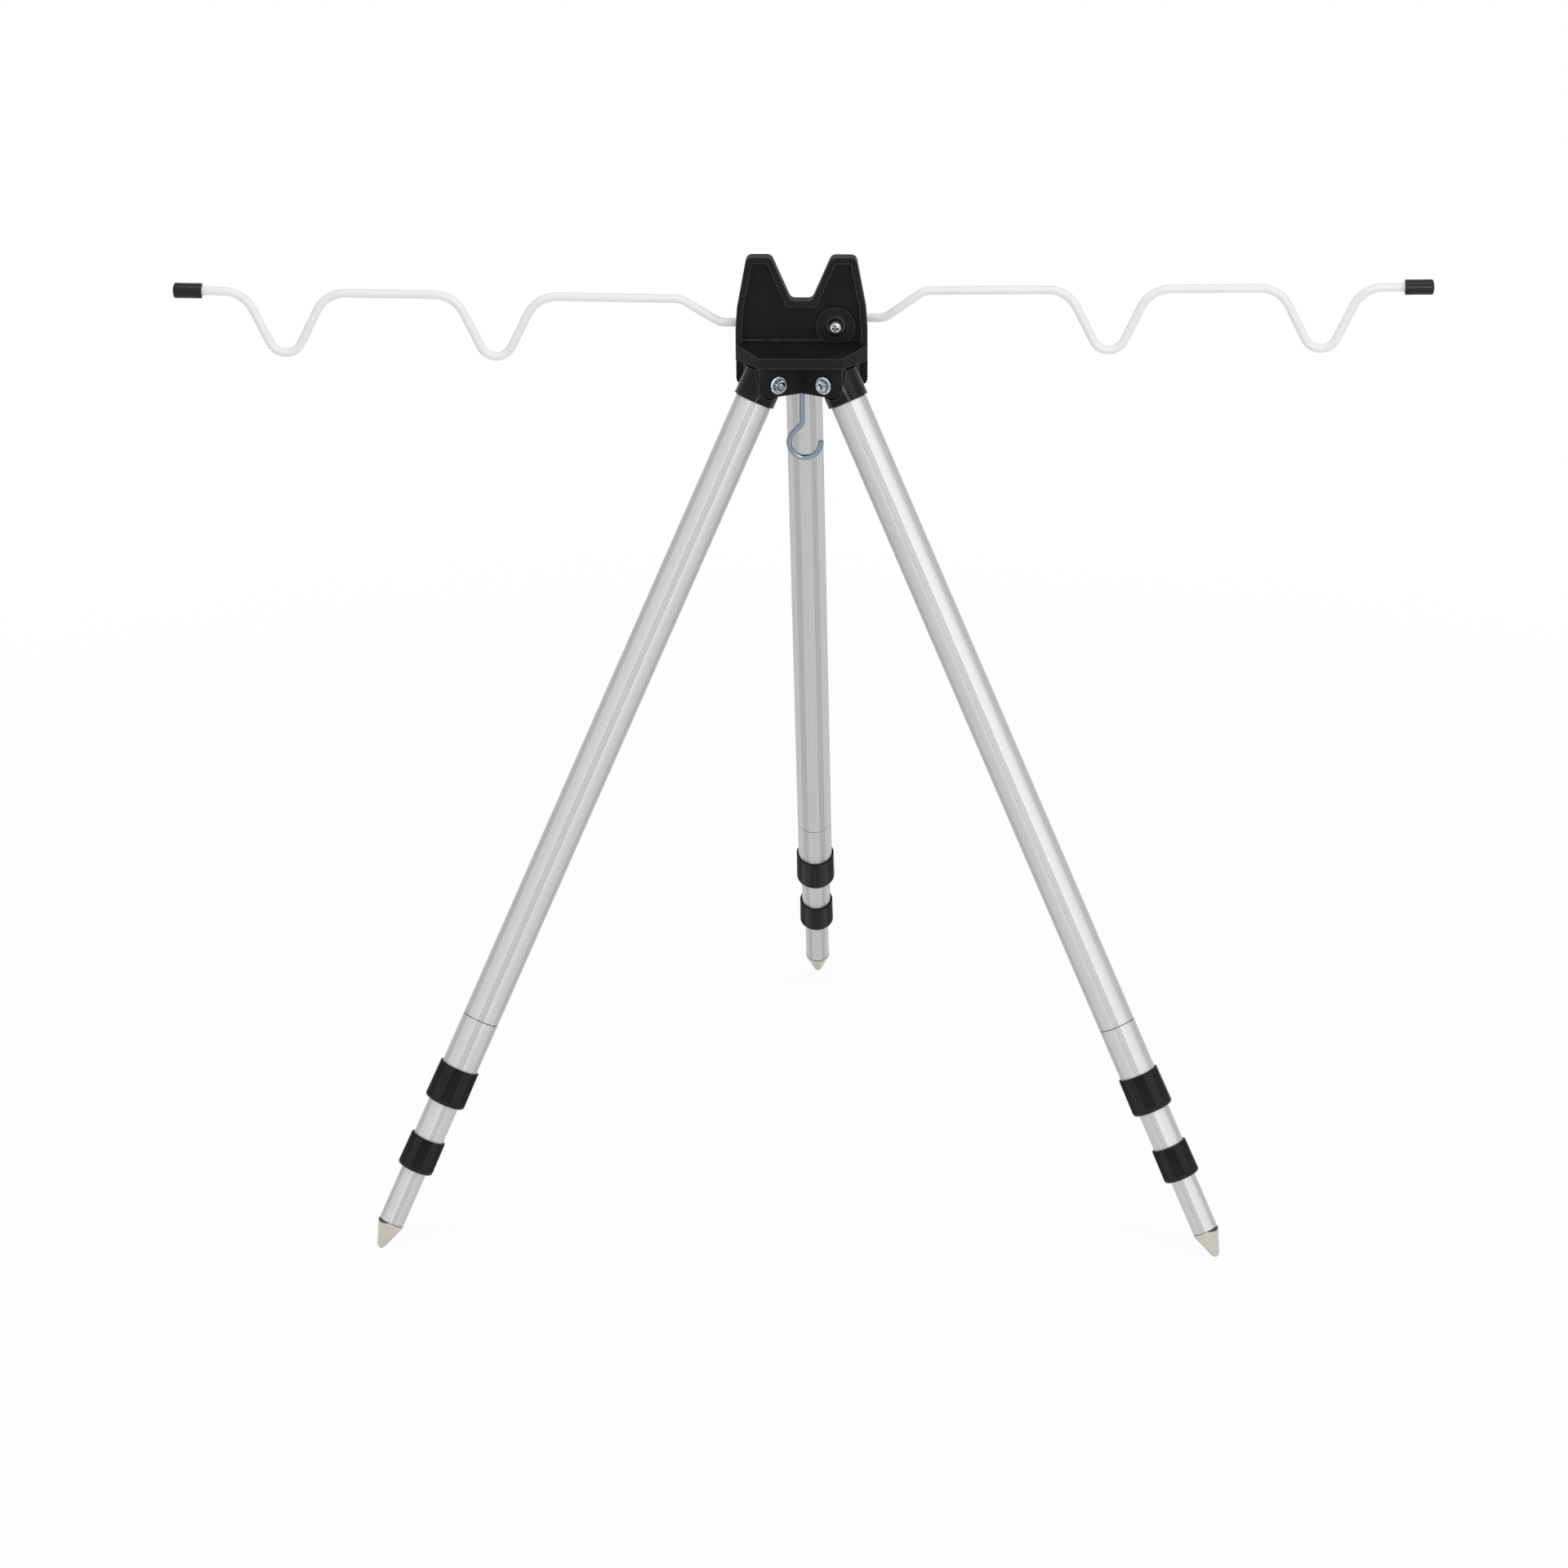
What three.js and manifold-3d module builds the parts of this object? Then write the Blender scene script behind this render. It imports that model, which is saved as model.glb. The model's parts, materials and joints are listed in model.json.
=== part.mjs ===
// Surf rod tripod: a moulded head with a V rest, two folding wire rod arms, three hinged telescopic
// legs with twist-lock collars and spikes, and a swivelling ballast hook.
// Millimetres and degrees. X is to the right, Y to the back, Z up. Heights on the head are measured
// from the hinge pins, and stations on a leg are measured down the leg from its hinge pin.

import * as THREE from 'three';
import { mergeVertices } from 'three/addons/utils/BufferGeometryUtils.js';
import Module from 'manifold-3d';

const wasm = await Module();
wasm.setup();

// Stance
const splayDeg = 27.6;
const frontLegAzimuthDeg = 60;
const frontPinRadius = 24;
const rearPinRadius = 29;
const legOffset = 5.8;
const seatGap = 0.3;
const weldDistance = 0.0005;
const cutOverrun = 20;

// Leg tubes
const outerTubeDia = 25;
const midTubeDia = 21.2;
const innerTubeDia = 17.4;
const tubeWall = 1;
const grooveDepth = 0.25;
const groovePitch = 1.15;
const outerGrooveGroups = 6;
const outerGroovesPerGroup = 4;
const innerGrooveGroups = 5;
const innerGroovesPerGroup = 3;

// Lengths along a leg
const outerTubeLength = 461;
const sleeveShows = 36;
const upperCollarLength = 27;
const midTubeShows = 26.8;
const lowerCollarLength = 24;
const innerTubeShows = 40.5;
const midSlideIn = 26.3;
const innerSlideIn = 40;

// Twist-lock collars and their split collets
const upperCollarDia = 28.4;
const lowerCollarDia = 25;
const collarTaper = 0.5;
const collarEdgeRadius = 2.4;
const collarGrooveDepth = 0.45;
const collarGroovePitch = 1.7;
const collarGrooveGroups = 5;
const collarGroovesPerGroup = 3;
const collarOverTube = 13;
const colletLength = 9.5;
const colletSlitDeg = 24;

// Guide bushes on the upper ends of the sliding tubes
const bushFlangeLength = 5;
const bushSpigotLength = 10;
const bushBore = 8;

// Foot spike
const footBaseDia = 18;
const footRim = 1.2;
const footLength = 19.7;
const footTipRadius = 3;
const footPlugLength = 12;

// Leg fitting: tongue, skirt and plug
const skirtDia = 28.4;
const skirtEnd = 16.3;
const plugLength = 22;
const tongueThickness = 12;
const tongueRadius = 8;
const tongueShoulder = 6.5;
const tongueOuterTop = 3;
const foldSweepSteps = 4;

// Hinge walls of the head
const hingeWall = 5;
const wallReach = 14.7;
const wallDrop = 8.2;
const wallCornerRadius = 6.5;
const wallFoldClearance = 0.4;
const hingePocketWall = 3.2;

// Head: front plate with the V rest
const headWidth = 88.8;
const cheekHeight = 34;
const cheekInset = 1;
const shoulderHeight = 49.2;
const hornTopHeight = 84.5;
const hornTopWidth = 73.6;
const hornInnerWidth = 40.3;
const vBottomWidth = 14.3;
const vBottomHeight = 54.5;
const plateFront = 7;
const plateBack = 2.15;
const webThickness = 2.6;
const rimWidth = 4.4;
const hornCornerRadius = 4.2;
const vCornerRadius = 4;
const pocketCornerRadius = 2;
const lobeDrop = 5.5;
const lobeRadius = 4;

// Head: hood over the front hinges
const hoodUnderHeight = 13.3;
const lipHeight = 20.2;
const hoodBackHeight = 25.1;
const lipReach = 29;
const lipWidth = 56;

// Head: arm pivots, roof, rear wall and ballast floor
const pivotHeight = 35.9;
const pivotSpread = 45.8;
const leftArmDepth = 5.4;
const rightArmDepth = 18.4;
const rearWallThickness = 3.1;
const rearWallWidth = 70;
const rearWallBottom = 21.5;
const rearWallTop = 46.5;
const rearWallRadius = 9;
const postDia = 12;
const bossDia = 26.8;
const bossFront = 3.2;
const rearBossDia = 22;
const rearBossRise = 4;
const counterboreDia = 15.4;
const counterboreFloorFront = 0.2;
const counterboreDepthRear = 3;
const blindHoleStop = 0.75;
const floorThickness = 7.4;
const floorBack = 8;
const cavityTop = 21.5;
const rearHornHeight = 26;

// Rod arms, bent from coated wire
const armWireDia = 6;
const eyeRadius = 6.2;
const eyeEndDeg = 45;
const eyeNeckDeg = 40;
const joggleStart = 51.2;
const joggleRun = 26.6;
const joggleRiseLeft = 16.3;
const joggleRiseRight = 19.2;
const joggleRadius = 14;
const flatRiseDeg = 0.7;
const innerDipReach = 206.8;
const outerDipReach = 349.7;
const armEndReach = 71.8;
const dipDepth = 42.4;
const dipSideDeg = 64;
const dipBottomRadius = 11.5;
const dipShoulderRadius = 22;
const capDia = 10.5;
const capLength = 19.6;
const capBoreDepth = 16;
const capEdgeRadius = 2.2;
const capGrip = 0.25;

// Fasteners
const boltDia = 5;
const holeClearance = 0.2;
const flangeDia = 12.4;
const flangeThickness = 1.1;
const hexAcrossFlats = 8;
const boltHexHeight = 2.6;
const nutHexHeight = 3.2;
const boltEndShows = 1.5;
const screwHeadDia = 8.8;
const screwHeadHeight = 3;
const screwCrownRadius = 1.6;
const pivotBushLength = 6.2;
const pivotBushFlangeDia = 13.5;
const pivotBushFlangeThickness = 1.2;
const pivotBushRootDia = 10.8;
const pivotBushTopDia = 9.2;

// Ballast hook
const hookWireDia = 4;
const hookLoopRadius = 10.7;
const hookLoopOffset = 2;
const hookLoopDrop = 46.7;
const hookSwingDeg = 45;
const hookNutHeight = 4;
const hookEndShows = 1.5;

// Fineness of round forms
const tubeBoreSides = 12;
const fineSides = 24;
const plainSides = 16;
const smallSides = 12;
const wireSides = 8;
const arcStepDeg = 22;
const cornerStepDeg = 24;

const deg = Math.PI / 180;
const splay = splayDeg * deg;
const boltRadius = boltDia / 2;
const boltHoleRadius = boltRadius + holeClearance;

// Derived stations on a leg
const tubeTop = skirtEnd + seatGap;
const seam = tubeTop + outerTubeLength;
const upperCollarTop = seam + seatGap + sleeveShows;
const upperCollarEnd = upperCollarTop + upperCollarLength;
const lowerCollarTop = upperCollarEnd + midTubeShows;
const lowerCollarEnd = lowerCollarTop + lowerCollarLength;
const footBase = lowerCollarEnd + innerTubeShows;
const legTip = footBase + footLength;
const plugEnd = skirtEnd + plugLength;
const midTop = plugEnd + midSlideIn + seatGap;
const innerTop = midTop + bushFlangeLength + bushSpigotLength + innerSlideIn + seatGap;
const pinHeight = (legTip - footTipRadius) * Math.cos(splay) + footTipRadius - legOffset * Math.sin(splay);

// Materials, by finish
function finish(color, roughness, metalness) {
  return new THREE.MeshStandardMaterial({ color, roughness, metalness, flatShading: true });
}
const anodised = finish(0xc9cacb, 0.38, 0.85);
const moulded = finish(0x1c1d1f, 0.55, 0);
const collarBlack = finish(0x17181a, 0.45, 0);
const nylon = finish(0x2a2b2d, 0.6, 0);
const bushNylon = finish(0x151517, 0.3, 0);
const coatedWire = finish(0xf0f0f1, 0.35, 0);
const capRubber = finish(0x18191a, 0.7, 0);
const zinc = finish(0xb9bec4, 0.28, 0.95);
const nickel = finish(0xcfc8bc, 0.25, 0.95);

// Turns any closed geometry into a solid that can be cut and joined.
function solidOf(geometry) {
  const bare = geometry.clone();
  for (const name of Object.keys(bare.attributes)) {
    if (name !== 'position') bare.deleteAttribute(name);
  }
  const merged = mergeVertices(bare, weldDistance);
  const points = merged.attributes.position;
  const corner = [new THREE.Vector3(), new THREE.Vector3(), new THREE.Vector3()];
  const triangles = [];
  let volume = 0;
  for (let i = 0; i < merged.index.count; i += 3) {
    const ids = [merged.index.getX(i), merged.index.getX(i + 1), merged.index.getX(i + 2)];
    if (ids[0] === ids[1] || ids[1] === ids[2] || ids[2] === ids[0]) continue;
    ids.forEach((id, k) => corner[k].fromBufferAttribute(points, id));
    volume += corner[0].dot(corner[1].clone().cross(corner[2]));
    triangles.push(ids);
  }
  if (volume < 0) triangles.forEach((ids) => ids.reverse());
  const vertProperties = Float32Array.from(points.array);
  const triVerts = Uint32Array.from(triangles.flat());
  return new wasm.Manifold(new wasm.Mesh({ numProp: 3, vertProperties, triVerts }));
}

function geometryOf(solid) {
  const mesh = solid.getMesh();
  const geometry = new THREE.BufferGeometry();
  geometry.setAttribute('position', new THREE.BufferAttribute(Float32Array.from(mesh.vertProperties), 3));
  geometry.setIndex(new THREE.BufferAttribute(Uint32Array.from(mesh.triVerts), 1));
  return geometry;
}

function joined(...solids) {
  return solids.reduce((whole, next) => whole.add(next));
}

function without(solid, ...tools) {
  return tools.reduce((left, tool) => left.subtract(tool), solid);
}

// Points of a circle, or of a part of one.
function arcPoints(x, y, radius, fromDeg, toDeg, steps) {
  return Array.from({ length: steps + 1 }, (_, i) => {
    const angle = (fromDeg + ((toDeg - fromDeg) * i) / steps) * deg;
    return new THREE.Vector2(x + radius * Math.cos(angle), y + radius * Math.sin(angle));
  });
}

function circle(radius, sides, x = 0, y = 0) {
  return arcPoints(x, y, radius, 0, 360, sides).slice(0, sides);
}

// Turns corners [x, y, radius] into an outline whose corners are rounded.
function rounded(corners) {
  return corners.flatMap(([x, y, radius = 0], i) => {
    const here = new THREE.Vector2(x, y);
    if (radius === 0) return [here];
    const count = corners.length;
    const before = new THREE.Vector2(...corners[(i + count - 1) % count].slice(0, 2)).sub(here).normalize();
    const after = new THREE.Vector2(...corners[(i + 1) % count].slice(0, 2)).sub(here).normalize();
    const half = Math.acos(THREE.MathUtils.clamp(before.dot(after), -1, 1)) / 2;
    const centre = before.clone().add(after).normalize().multiplyScalar(radius / Math.sin(half)).add(here);
    const reach = radius / Math.tan(half);
    const start = before.multiplyScalar(reach).add(here).sub(centre);
    const end = after.multiplyScalar(reach).add(here).sub(centre);
    const turn = Math.atan2(start.cross(end), start.dot(end));
    const steps = Math.max(2, Math.ceil(Math.abs(turn) / deg / cornerStepDeg));
    return Array.from({ length: steps + 1 }, (_, k) =>
      start.clone().rotateAround(new THREE.Vector2(), (turn * k) / steps).add(centre));
  });
}

// Moves each edge of an outline that runs anticlockwise inwards by a distance.
function inset(points, distance) {
  const count = points.length;
  return points.map(([x, y], i) => {
    const [bx, by] = points[(i + count - 1) % count];
    const [ax, ay] = points[(i + 1) % count];
    const into = new THREE.Vector2(x - bx, y - by).normalize();
    const out = new THREE.Vector2(ax - x, ay - y).normalize();
    const cross = into.cross(out);
    const shift = Math.abs(cross) < Number.EPSILON ? 0 : (distance * (1 - into.dot(out))) / cross;
    const along = into.clone().multiplyScalar(-shift);
    return [x + along.x - into.y * distance, y + along.y + into.x * distance];
  });
}

const planes = {
  x: new THREE.Matrix4().makeBasis(
    new THREE.Vector3(0, 1, 0), new THREE.Vector3(0, 0, 1), new THREE.Vector3(1, 0, 0)),
  y: new THREE.Matrix4().makeBasis(
    new THREE.Vector3(1, 0, 0), new THREE.Vector3(0, 0, 1), new THREE.Vector3(0, -1, 0)),
  z: new THREE.Matrix4(),
};

// Extrudes an outline along an axis between two places. An outline along X lies in Y and Z,
// along Y in X and Z, and along Z in X and Y.
function prism(axis, outline, from, to, holes = []) {
  const shape = new THREE.Shape(outline);
  shape.holes = holes.map((hole) => new THREE.Path(hole));
  const geometry = new THREE.ExtrudeGeometry(shape, { depth: to - from, bevelEnabled: false });
  geometry.translate(0, 0, axis === 'y' ? -to : from);
  return geometry.applyMatrix4(planes[axis]);
}

function prismSolid(axis, outline, from, to) {
  return solidOf(prism(axis, outline, from, to));
}

function boxSolid(xs, ys, zs) {
  const outline = [[xs[0], ys[0]], [xs[1], ys[0]], [xs[1], ys[1]], [xs[0], ys[1]]];
  return prismSolid('z', outline.map((p) => new THREE.Vector2(...p)), zs[0], zs[1]);
}

// Revolves a closed profile of [radius, height] points about Z.
function turned(profile, sides) {
  const points = [...profile, profile[0]].map(([r, z]) => new THREE.Vector2(r, z));
  const geometry = new THREE.LatheGeometry(points, sides);
  return geometry.applyMatrix4(new THREE.Matrix4().makeRotationX(Math.PI / 2));
}

function turnedSolid(profile, sides) {
  return solidOf(turned(profile, sides));
}

// Round outline with groups of fine V grooves and smooth bands between them.
function grooved(radius, depth, pitch, groups, perGroup) {
  const step = pitch / radius;
  const outline = [];
  for (let group = 0; group < groups; group += 1) {
    const middle = (group * 2 * Math.PI) / groups;
    for (let k = -perGroup; k <= perGroup; k += 1) {
      const r = (k + perGroup) % 2 === 0 ? radius : radius - depth;
      const angle = middle + (k * step) / 2;
      outline.push(new THREE.Vector2(r * Math.cos(angle), r * Math.sin(angle)));
    }
    const band = middle + Math.PI / groups;
    outline.push(new THREE.Vector2(radius * Math.cos(band), radius * Math.sin(band)));
  }
  return outline;
}

// Skins rings of equal counts, outer from the top down and inner from the bottom up, and closes
// the two ends between them.
function skinned(outerRings, innerRings) {
  const positions = [];
  const push = (...corners) => corners.forEach((c) => positions.push(c.x, c.y, c.z));
  for (const rings of [outerRings, innerRings]) {
    for (let r = 0; r + 1 < rings.length; r += 1) {
      rings[r].forEach((a, i) => {
        const next = (i + 1) % rings[r].length;
        const b = rings[r][next];
        const c = rings[r + 1][next];
        const d = rings[r + 1][i];
        push(a, c, b, a, d, c);
      });
    }
  }
  const ends = [[outerRings[0], innerRings.at(-1), false], [outerRings.at(-1), innerRings[0], true]];
  for (const [outer, inner, flipped] of ends) {
    const hole = [...inner].reverse();
    const all = [...outer, ...hole];
    const flat = (ring) => ring.map((p) => new THREE.Vector2(p.x, p.y));
    for (const face of THREE.ShapeUtils.triangulateShape(flat(outer), [flat(hole)])) {
      const [a, b, c] = face.map((id) => all[id]);
      if (flipped) push(a, c, b);
      else push(a, b, c);
    }
  }
  const geometry = new THREE.BufferGeometry();
  geometry.setAttribute('position', new THREE.Float32BufferAttribute(positions, 3));
  return geometry;
}

// A bent wire: a curve made of straight runs and round bends in one plane. Its stations stand
// only where the shape needs them, and an extrusion steps from one to the next.
class BentWire extends THREE.Curve {
  constructor(start, headingDeg, place) {
    super();
    this.place = place;
    this.at = start.clone();
    this.heading = headingDeg * deg;
    this.stations = [];
    this.mark();
  }

  mark() {
    const ahead = new THREE.Vector2(Math.cos(this.heading), Math.sin(this.heading));
    this.stations.push({ point: this.place(this.at), tangent: this.place(ahead, true).normalize() });
  }

  run(length) {
    this.at.x += length * Math.cos(this.heading);
    this.at.y += length * Math.sin(this.heading);
    this.mark();
    return this;
  }

  bend(radius, turnDeg) {
    const side = Math.sign(turnDeg);
    const steps = Math.max(1, Math.ceil(Math.abs(turnDeg) / arcStepDeg));
    const centre = new THREE.Vector2(-Math.sin(this.heading), Math.cos(this.heading));
    centre.multiplyScalar(side * radius).add(this.at);
    for (let i = 0; i < steps; i += 1) {
      this.at.rotateAround(centre, (turnDeg * deg) / steps);
      this.heading += (turnDeg * deg) / steps;
      this.mark();
    }
    return this;
  }

  station(u) {
    return this.stations[Math.round(u * (this.stations.length - 1))];
  }

  getPointAt(u) {
    return this.station(u).point.clone();
  }

  getTangentAt(u) {
    return this.station(u).tangent.clone();
  }

  geometry(diameter) {
    const steps = this.stations.length - 1;
    const section = new THREE.Shape(circle(diameter / 2, wireSides));
    return new THREE.ExtrudeGeometry(section, { extrudePath: this, steps, curveSegments: 1 });
  }
}

function piece(name, material, geometry) {
  const mesh = new THREE.Mesh(geometry, material);
  mesh.name = name;
  return mesh;
}

// The twelve-sided bore keeps its flats outside a circle of the wanted radius.
function bore(radius) {
  return circle(radius / Math.cos(Math.PI / tubeBoreSides), tubeBoreSides);
}

// Leg tubes
function legTube(diameter, top, end, groups, perGroup) {
  const outline = grooved(diameter / 2, grooveDepth, groovePitch, groups, perGroup);
  return prism('z', outline, -end, -top, [bore(diameter / 2 - tubeWall)]);
}

// A collar's grooves run the length of its side and die out on its rounded lower edge.
function collarGeometry(diameter, top, length, tubeDia, slidingDia) {
  const radius = diameter / 2;
  const ring = (z, r, depth) =>
    grooved(r, depth, collarGroovePitch, collarGrooveGroups, collarGroovesPerGroup)
      .map((p) => new THREE.Vector3(p.x, p.y, z));
  const flat = (z, r) => bore(r).map((p) => new THREE.Vector3(p.x, p.y, z));
  const end = top + length;
  const edge = 1 - Math.SQRT1_2;
  const lip = end - (length - collarOverTube - colletLength - 2 * seatGap);
  const wide = tubeDia / 2 + seatGap;
  const narrow = slidingDia / 2 + seatGap;
  const outer = [
    ring(-top, radius - collarTaper / 2, collarGrooveDepth),
    ring(-end + collarEdgeRadius, radius, collarGrooveDepth),
    ring(-end + collarEdgeRadius * edge, radius - collarEdgeRadius * edge, 0),
    ring(-end, radius - collarEdgeRadius, 0),
  ];
  const inner = [flat(-end, narrow), flat(-lip, narrow), flat(-lip, wide), flat(-top, wide)];
  return skinned(outer, inner);
}

// A split collet: a ring with a slit, gripped by the collar on the end of its tube.
function colletGeometry(tubeEnd, outerDia, slidingDia) {
  const top = tubeEnd + seatGap;
  const half = colletSlitDeg / 2;
  const outer = arcPoints(0, 0, outerDia / 2, half, 360 - half, smallSides);
  const innerRadius = (slidingDia / 2 + seatGap) / Math.cos(Math.PI / smallSides);
  const inner = arcPoints(0, 0, innerRadius, 360 - half, half, smallSides);
  return prism('z', [...outer, ...inner], -(top + colletLength), -top);
}

// A guide bush: a flange that runs in the outer tube and a spigot pressed into the sliding tube.
function bushGeometry(top, runsInDia, plugsIntoDia) {
  const flange = runsInDia / 2 - tubeWall - seatGap;
  const spigot = plugsIntoDia / 2 - tubeWall - seatGap;
  const seat = top + bushFlangeLength;
  const end = seat + bushSpigotLength;
  const core = bushBore / 2;
  return turned([[core, -top], [core, -end], [spigot, -end], [spigot, -seat], [flange, -seat],
    [flange, -top]], smallSides);
}

// A turned spike: a rim, a cone that runs into a round tip, and a plug in the inner tube.
function footGeometry() {
  const base = footBaseDia / 2;
  const plug = innerTubeDia / 2 - tubeWall - seatGap;
  const plugTop = footBase - footPlugLength;
  const rimEnd = footBase + footRim;
  const tipCentre = legTip - footTipRadius;
  const toCentre = tipCentre - rimEnd;
  const coneDeg = (Math.atan2(base, toCentre) - Math.asin(footTipRadius / Math.hypot(base, toCentre))) / deg;
  const tip = arcPoints(0, -tipCentre, footTipRadius, -90, coneDeg, 3).map((p) => [p.x, p.y]);
  tip[0][0] = 0;
  return turned([...tip, [base, -rimEnd], [base, -(footBase + seatGap / 2)],
    [plug, -(footBase - seatGap)], [plug, -plugTop], [0, -plugTop]], smallSides);
}

// A hinge wall seen from its side, with X out from the pin and Z up, grown by a clearance.
function wallOutline(grow) {
  const out = wallReach + grow;
  const low = -wallDrop - grow;
  return rounded([[-frontPinRadius, low], [out, low, wallCornerRadius + grow],
    [out, hoodUnderHeight + grow], [-frontPinRadius, hoodUnderHeight + grow]]);
}

// The leg fitting hangs from the pin by a tongue. Its round body is slotted for the two hinge
// walls through the whole fold, and its plug fills the top of the outer tube.
function fittingGeometry() {
  const radius = skirtDia / 2;
  const inner = legOffset - radius;
  const outer = legOffset + radius;
  const profile = [
    [inner, -skirtEnd],
    [outer, -skirtEnd],
    [outer, tongueOuterTop],
    [tongueRadius, tongueShoulder],
  ].map((p) => new THREE.Vector2(...p));
  profile.push(...arcPoints(0, 0, tongueRadius, 90, 180, 4));
  const side = prismSolid('y', profile, -radius - cutOverrun, radius + cutOverrun);
  const round = prismSolid('z', circle(radius, fineSides, legOffset), -skirtEnd, tongueRadius + seatGap);
  const tools = [];
  for (let i = 0; i <= foldSweepSteps; i += 1) {
    for (const [from, to] of [[tongueThickness / 2, radius + cutOverrun],
      [-radius - cutOverrun, -tongueThickness / 2]]) {
      const wall = prism('y', wallOutline(wallFoldClearance), from, to);
      wall.rotateY((splay * i) / foldSweepSteps);
      tools.push(solidOf(wall));
    }
  }
  const plugRadius = outerTubeDia / 2 - tubeWall - seatGap;
  const plug = prismSolid('z', circle(plugRadius, plainSides, legOffset), -plugEnd, -skirtEnd + seatGap);
  const pinHole = prismSolid('y', circle(boltHoleRadius, smallSides), -radius, radius);
  return geometryOf(joined(without(round.intersect(side), ...tools, pinHole), plug));
}

// Fasteners, made along Z with the seat at zero and the head or nut above it.
function hexagon() {
  return circle(hexAcrossFlats / 2 / Math.cos(Math.PI / 6), 6);
}

function flangeProfile() {
  const radius = flangeDia / 2;
  return [[0, 0], [radius, 0], [radius, flangeThickness / 2],
    [hexAcrossFlats / 2, flangeThickness], [0, flangeThickness]];
}

function hingeBolt(length) {
  const flange = turnedSolid(flangeProfile(), plainSides);
  const hex = prismSolid('z', hexagon(), flangeThickness / 2, flangeThickness + boltHexHeight);
  const shank = prismSolid('z', circle(boltRadius, smallSides), -length, flangeThickness);
  return joined(flange, hex, shank);
}

function hingeNut() {
  const flange = turnedSolid(flangeProfile(), plainSides);
  const hex = prismSolid('z', hexagon(), flangeThickness / 2, flangeThickness + nutHexHeight);
  const hole = prismSolid('z', circle(boltHoleRadius + seatGap / 2, smallSides), -cutOverrun, cutOverrun);
  return without(joined(flange, hex), hole);
}

function pivotBush() {
  const flange = pivotBushFlangeDia / 2;
  const whole = turnedSolid([[0, 0], [flange, 0], [flange, pivotBushFlangeThickness],
    [pivotBushRootDia / 2, pivotBushFlangeThickness], [pivotBushTopDia / 2, pivotBushLength],
    [0, pivotBushLength]], smallSides);
  return without(whole, prismSolid('z', circle(boltHoleRadius + seatGap / 2, smallSides),
    -cutOverrun, cutOverrun));
}

function pivotScrew(length) {
  const radius = screwHeadDia / 2;
  const crown = arcPoints(radius - screwCrownRadius, screwHeadHeight - screwCrownRadius,
    screwCrownRadius, 0, 90, 3).map((p) => [p.x, p.y]);
  const head = turnedSolid([[0, 0], [radius, 0], ...crown, [0, screwHeadHeight]], plainSides);
  const shank = prismSolid('z', circle(boltRadius, smallSides), -length, screwHeadHeight / 2);
  return joined(head, shank);
}

// Points a fastener made along Z along Y, towards the back or the front.
function alongY(solid, towardsBack) {
  return geometryOf(solid).rotateX(towardsBack ? -Math.PI / 2 : Math.PI / 2);
}

// Places of the front hinge walls and of the fastener seats
const wallInside = tongueThickness / 2 + seatGap;
const wallFace = wallInside + hingeWall;
const pocketSeat = wallInside + hingePocketWall;
const rearWallFront = rightArmDepth + armWireDia / 2 + 2 * seatGap;
const rearWallBack = rearWallFront + rearWallThickness;
const webFront = plateBack - webThickness;
const pivotX = pivotSpread / 2;

// Brings a solid from a leg's hinge frame into the head's frame.
function atHinge(geometry, azimuthDeg, radius) {
  const azimuth = azimuthDeg * deg;
  geometry.rotateZ(azimuth);
  return geometry.translate(radius * Math.cos(azimuth), radius * Math.sin(azimuth), 0);
}

// The pair of walls that holds one front leg, from the head's middle out past the pin.
function frontClevis(azimuthDeg) {
  return solidOf(atHinge(prism('y', wallOutline(0), -wallFace, wallFace), azimuthDeg, frontPinRadius));
}

function frontSlot(azimuthDeg) {
  const inner = -tongueRadius - wallFoldClearance;
  const outline = [[inner, -cutOverrun], [cutOverrun, -cutOverrun], [cutOverrun, hoodUnderHeight],
    [inner, hoodUnderHeight]].map((p) => new THREE.Vector2(...p));
  return solidOf(atHinge(prism('y', outline, -wallInside, wallInside), azimuthDeg, frontPinRadius));
}

// The pocket in the web behind a front hinge, where the inner end of its bolt sits.
function hingePocket(azimuthDeg, side) {
  const radius = flangeDia / 2 + 2 * seatGap;
  const from = side > 0 ? pocketSeat : -pocketSeat - cutOverrun;
  const pocket = prism('y', circle(radius, plainSides), from, from + cutOverrun);
  return solidOf(atHinge(pocket, azimuthDeg, frontPinRadius));
}

function boltHole(azimuthDeg, radius) {
  const hole = prism('y', circle(boltHoleRadius, smallSides), -cutOverrun, cutOverrun);
  return solidOf(atHinge(hole, azimuthDeg, radius));
}

// Corners of the front plate, anticlockwise from its lower right.
function plateCorners() {
  const side = headWidth / 2;
  return [
    [-side, -lobeDrop, lobeRadius],
    [side, -lobeDrop, lobeRadius],
    [side, cheekHeight],
    [side - cheekInset, shoulderHeight],
    [hornTopWidth / 2, hornTopHeight, hornCornerRadius],
    [hornInnerWidth / 2, hornTopHeight, hornCornerRadius],
    [vBottomWidth / 2, vBottomHeight, vCornerRadius],
    [-vBottomWidth / 2, vBottomHeight, vCornerRadius],
    [-hornInnerWidth / 2, hornTopHeight, hornCornerRadius],
    [-hornTopWidth / 2, hornTopHeight, hornCornerRadius],
    [cheekInset - side, shoulderHeight],
    [-side, cheekHeight],
  ];
}

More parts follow.
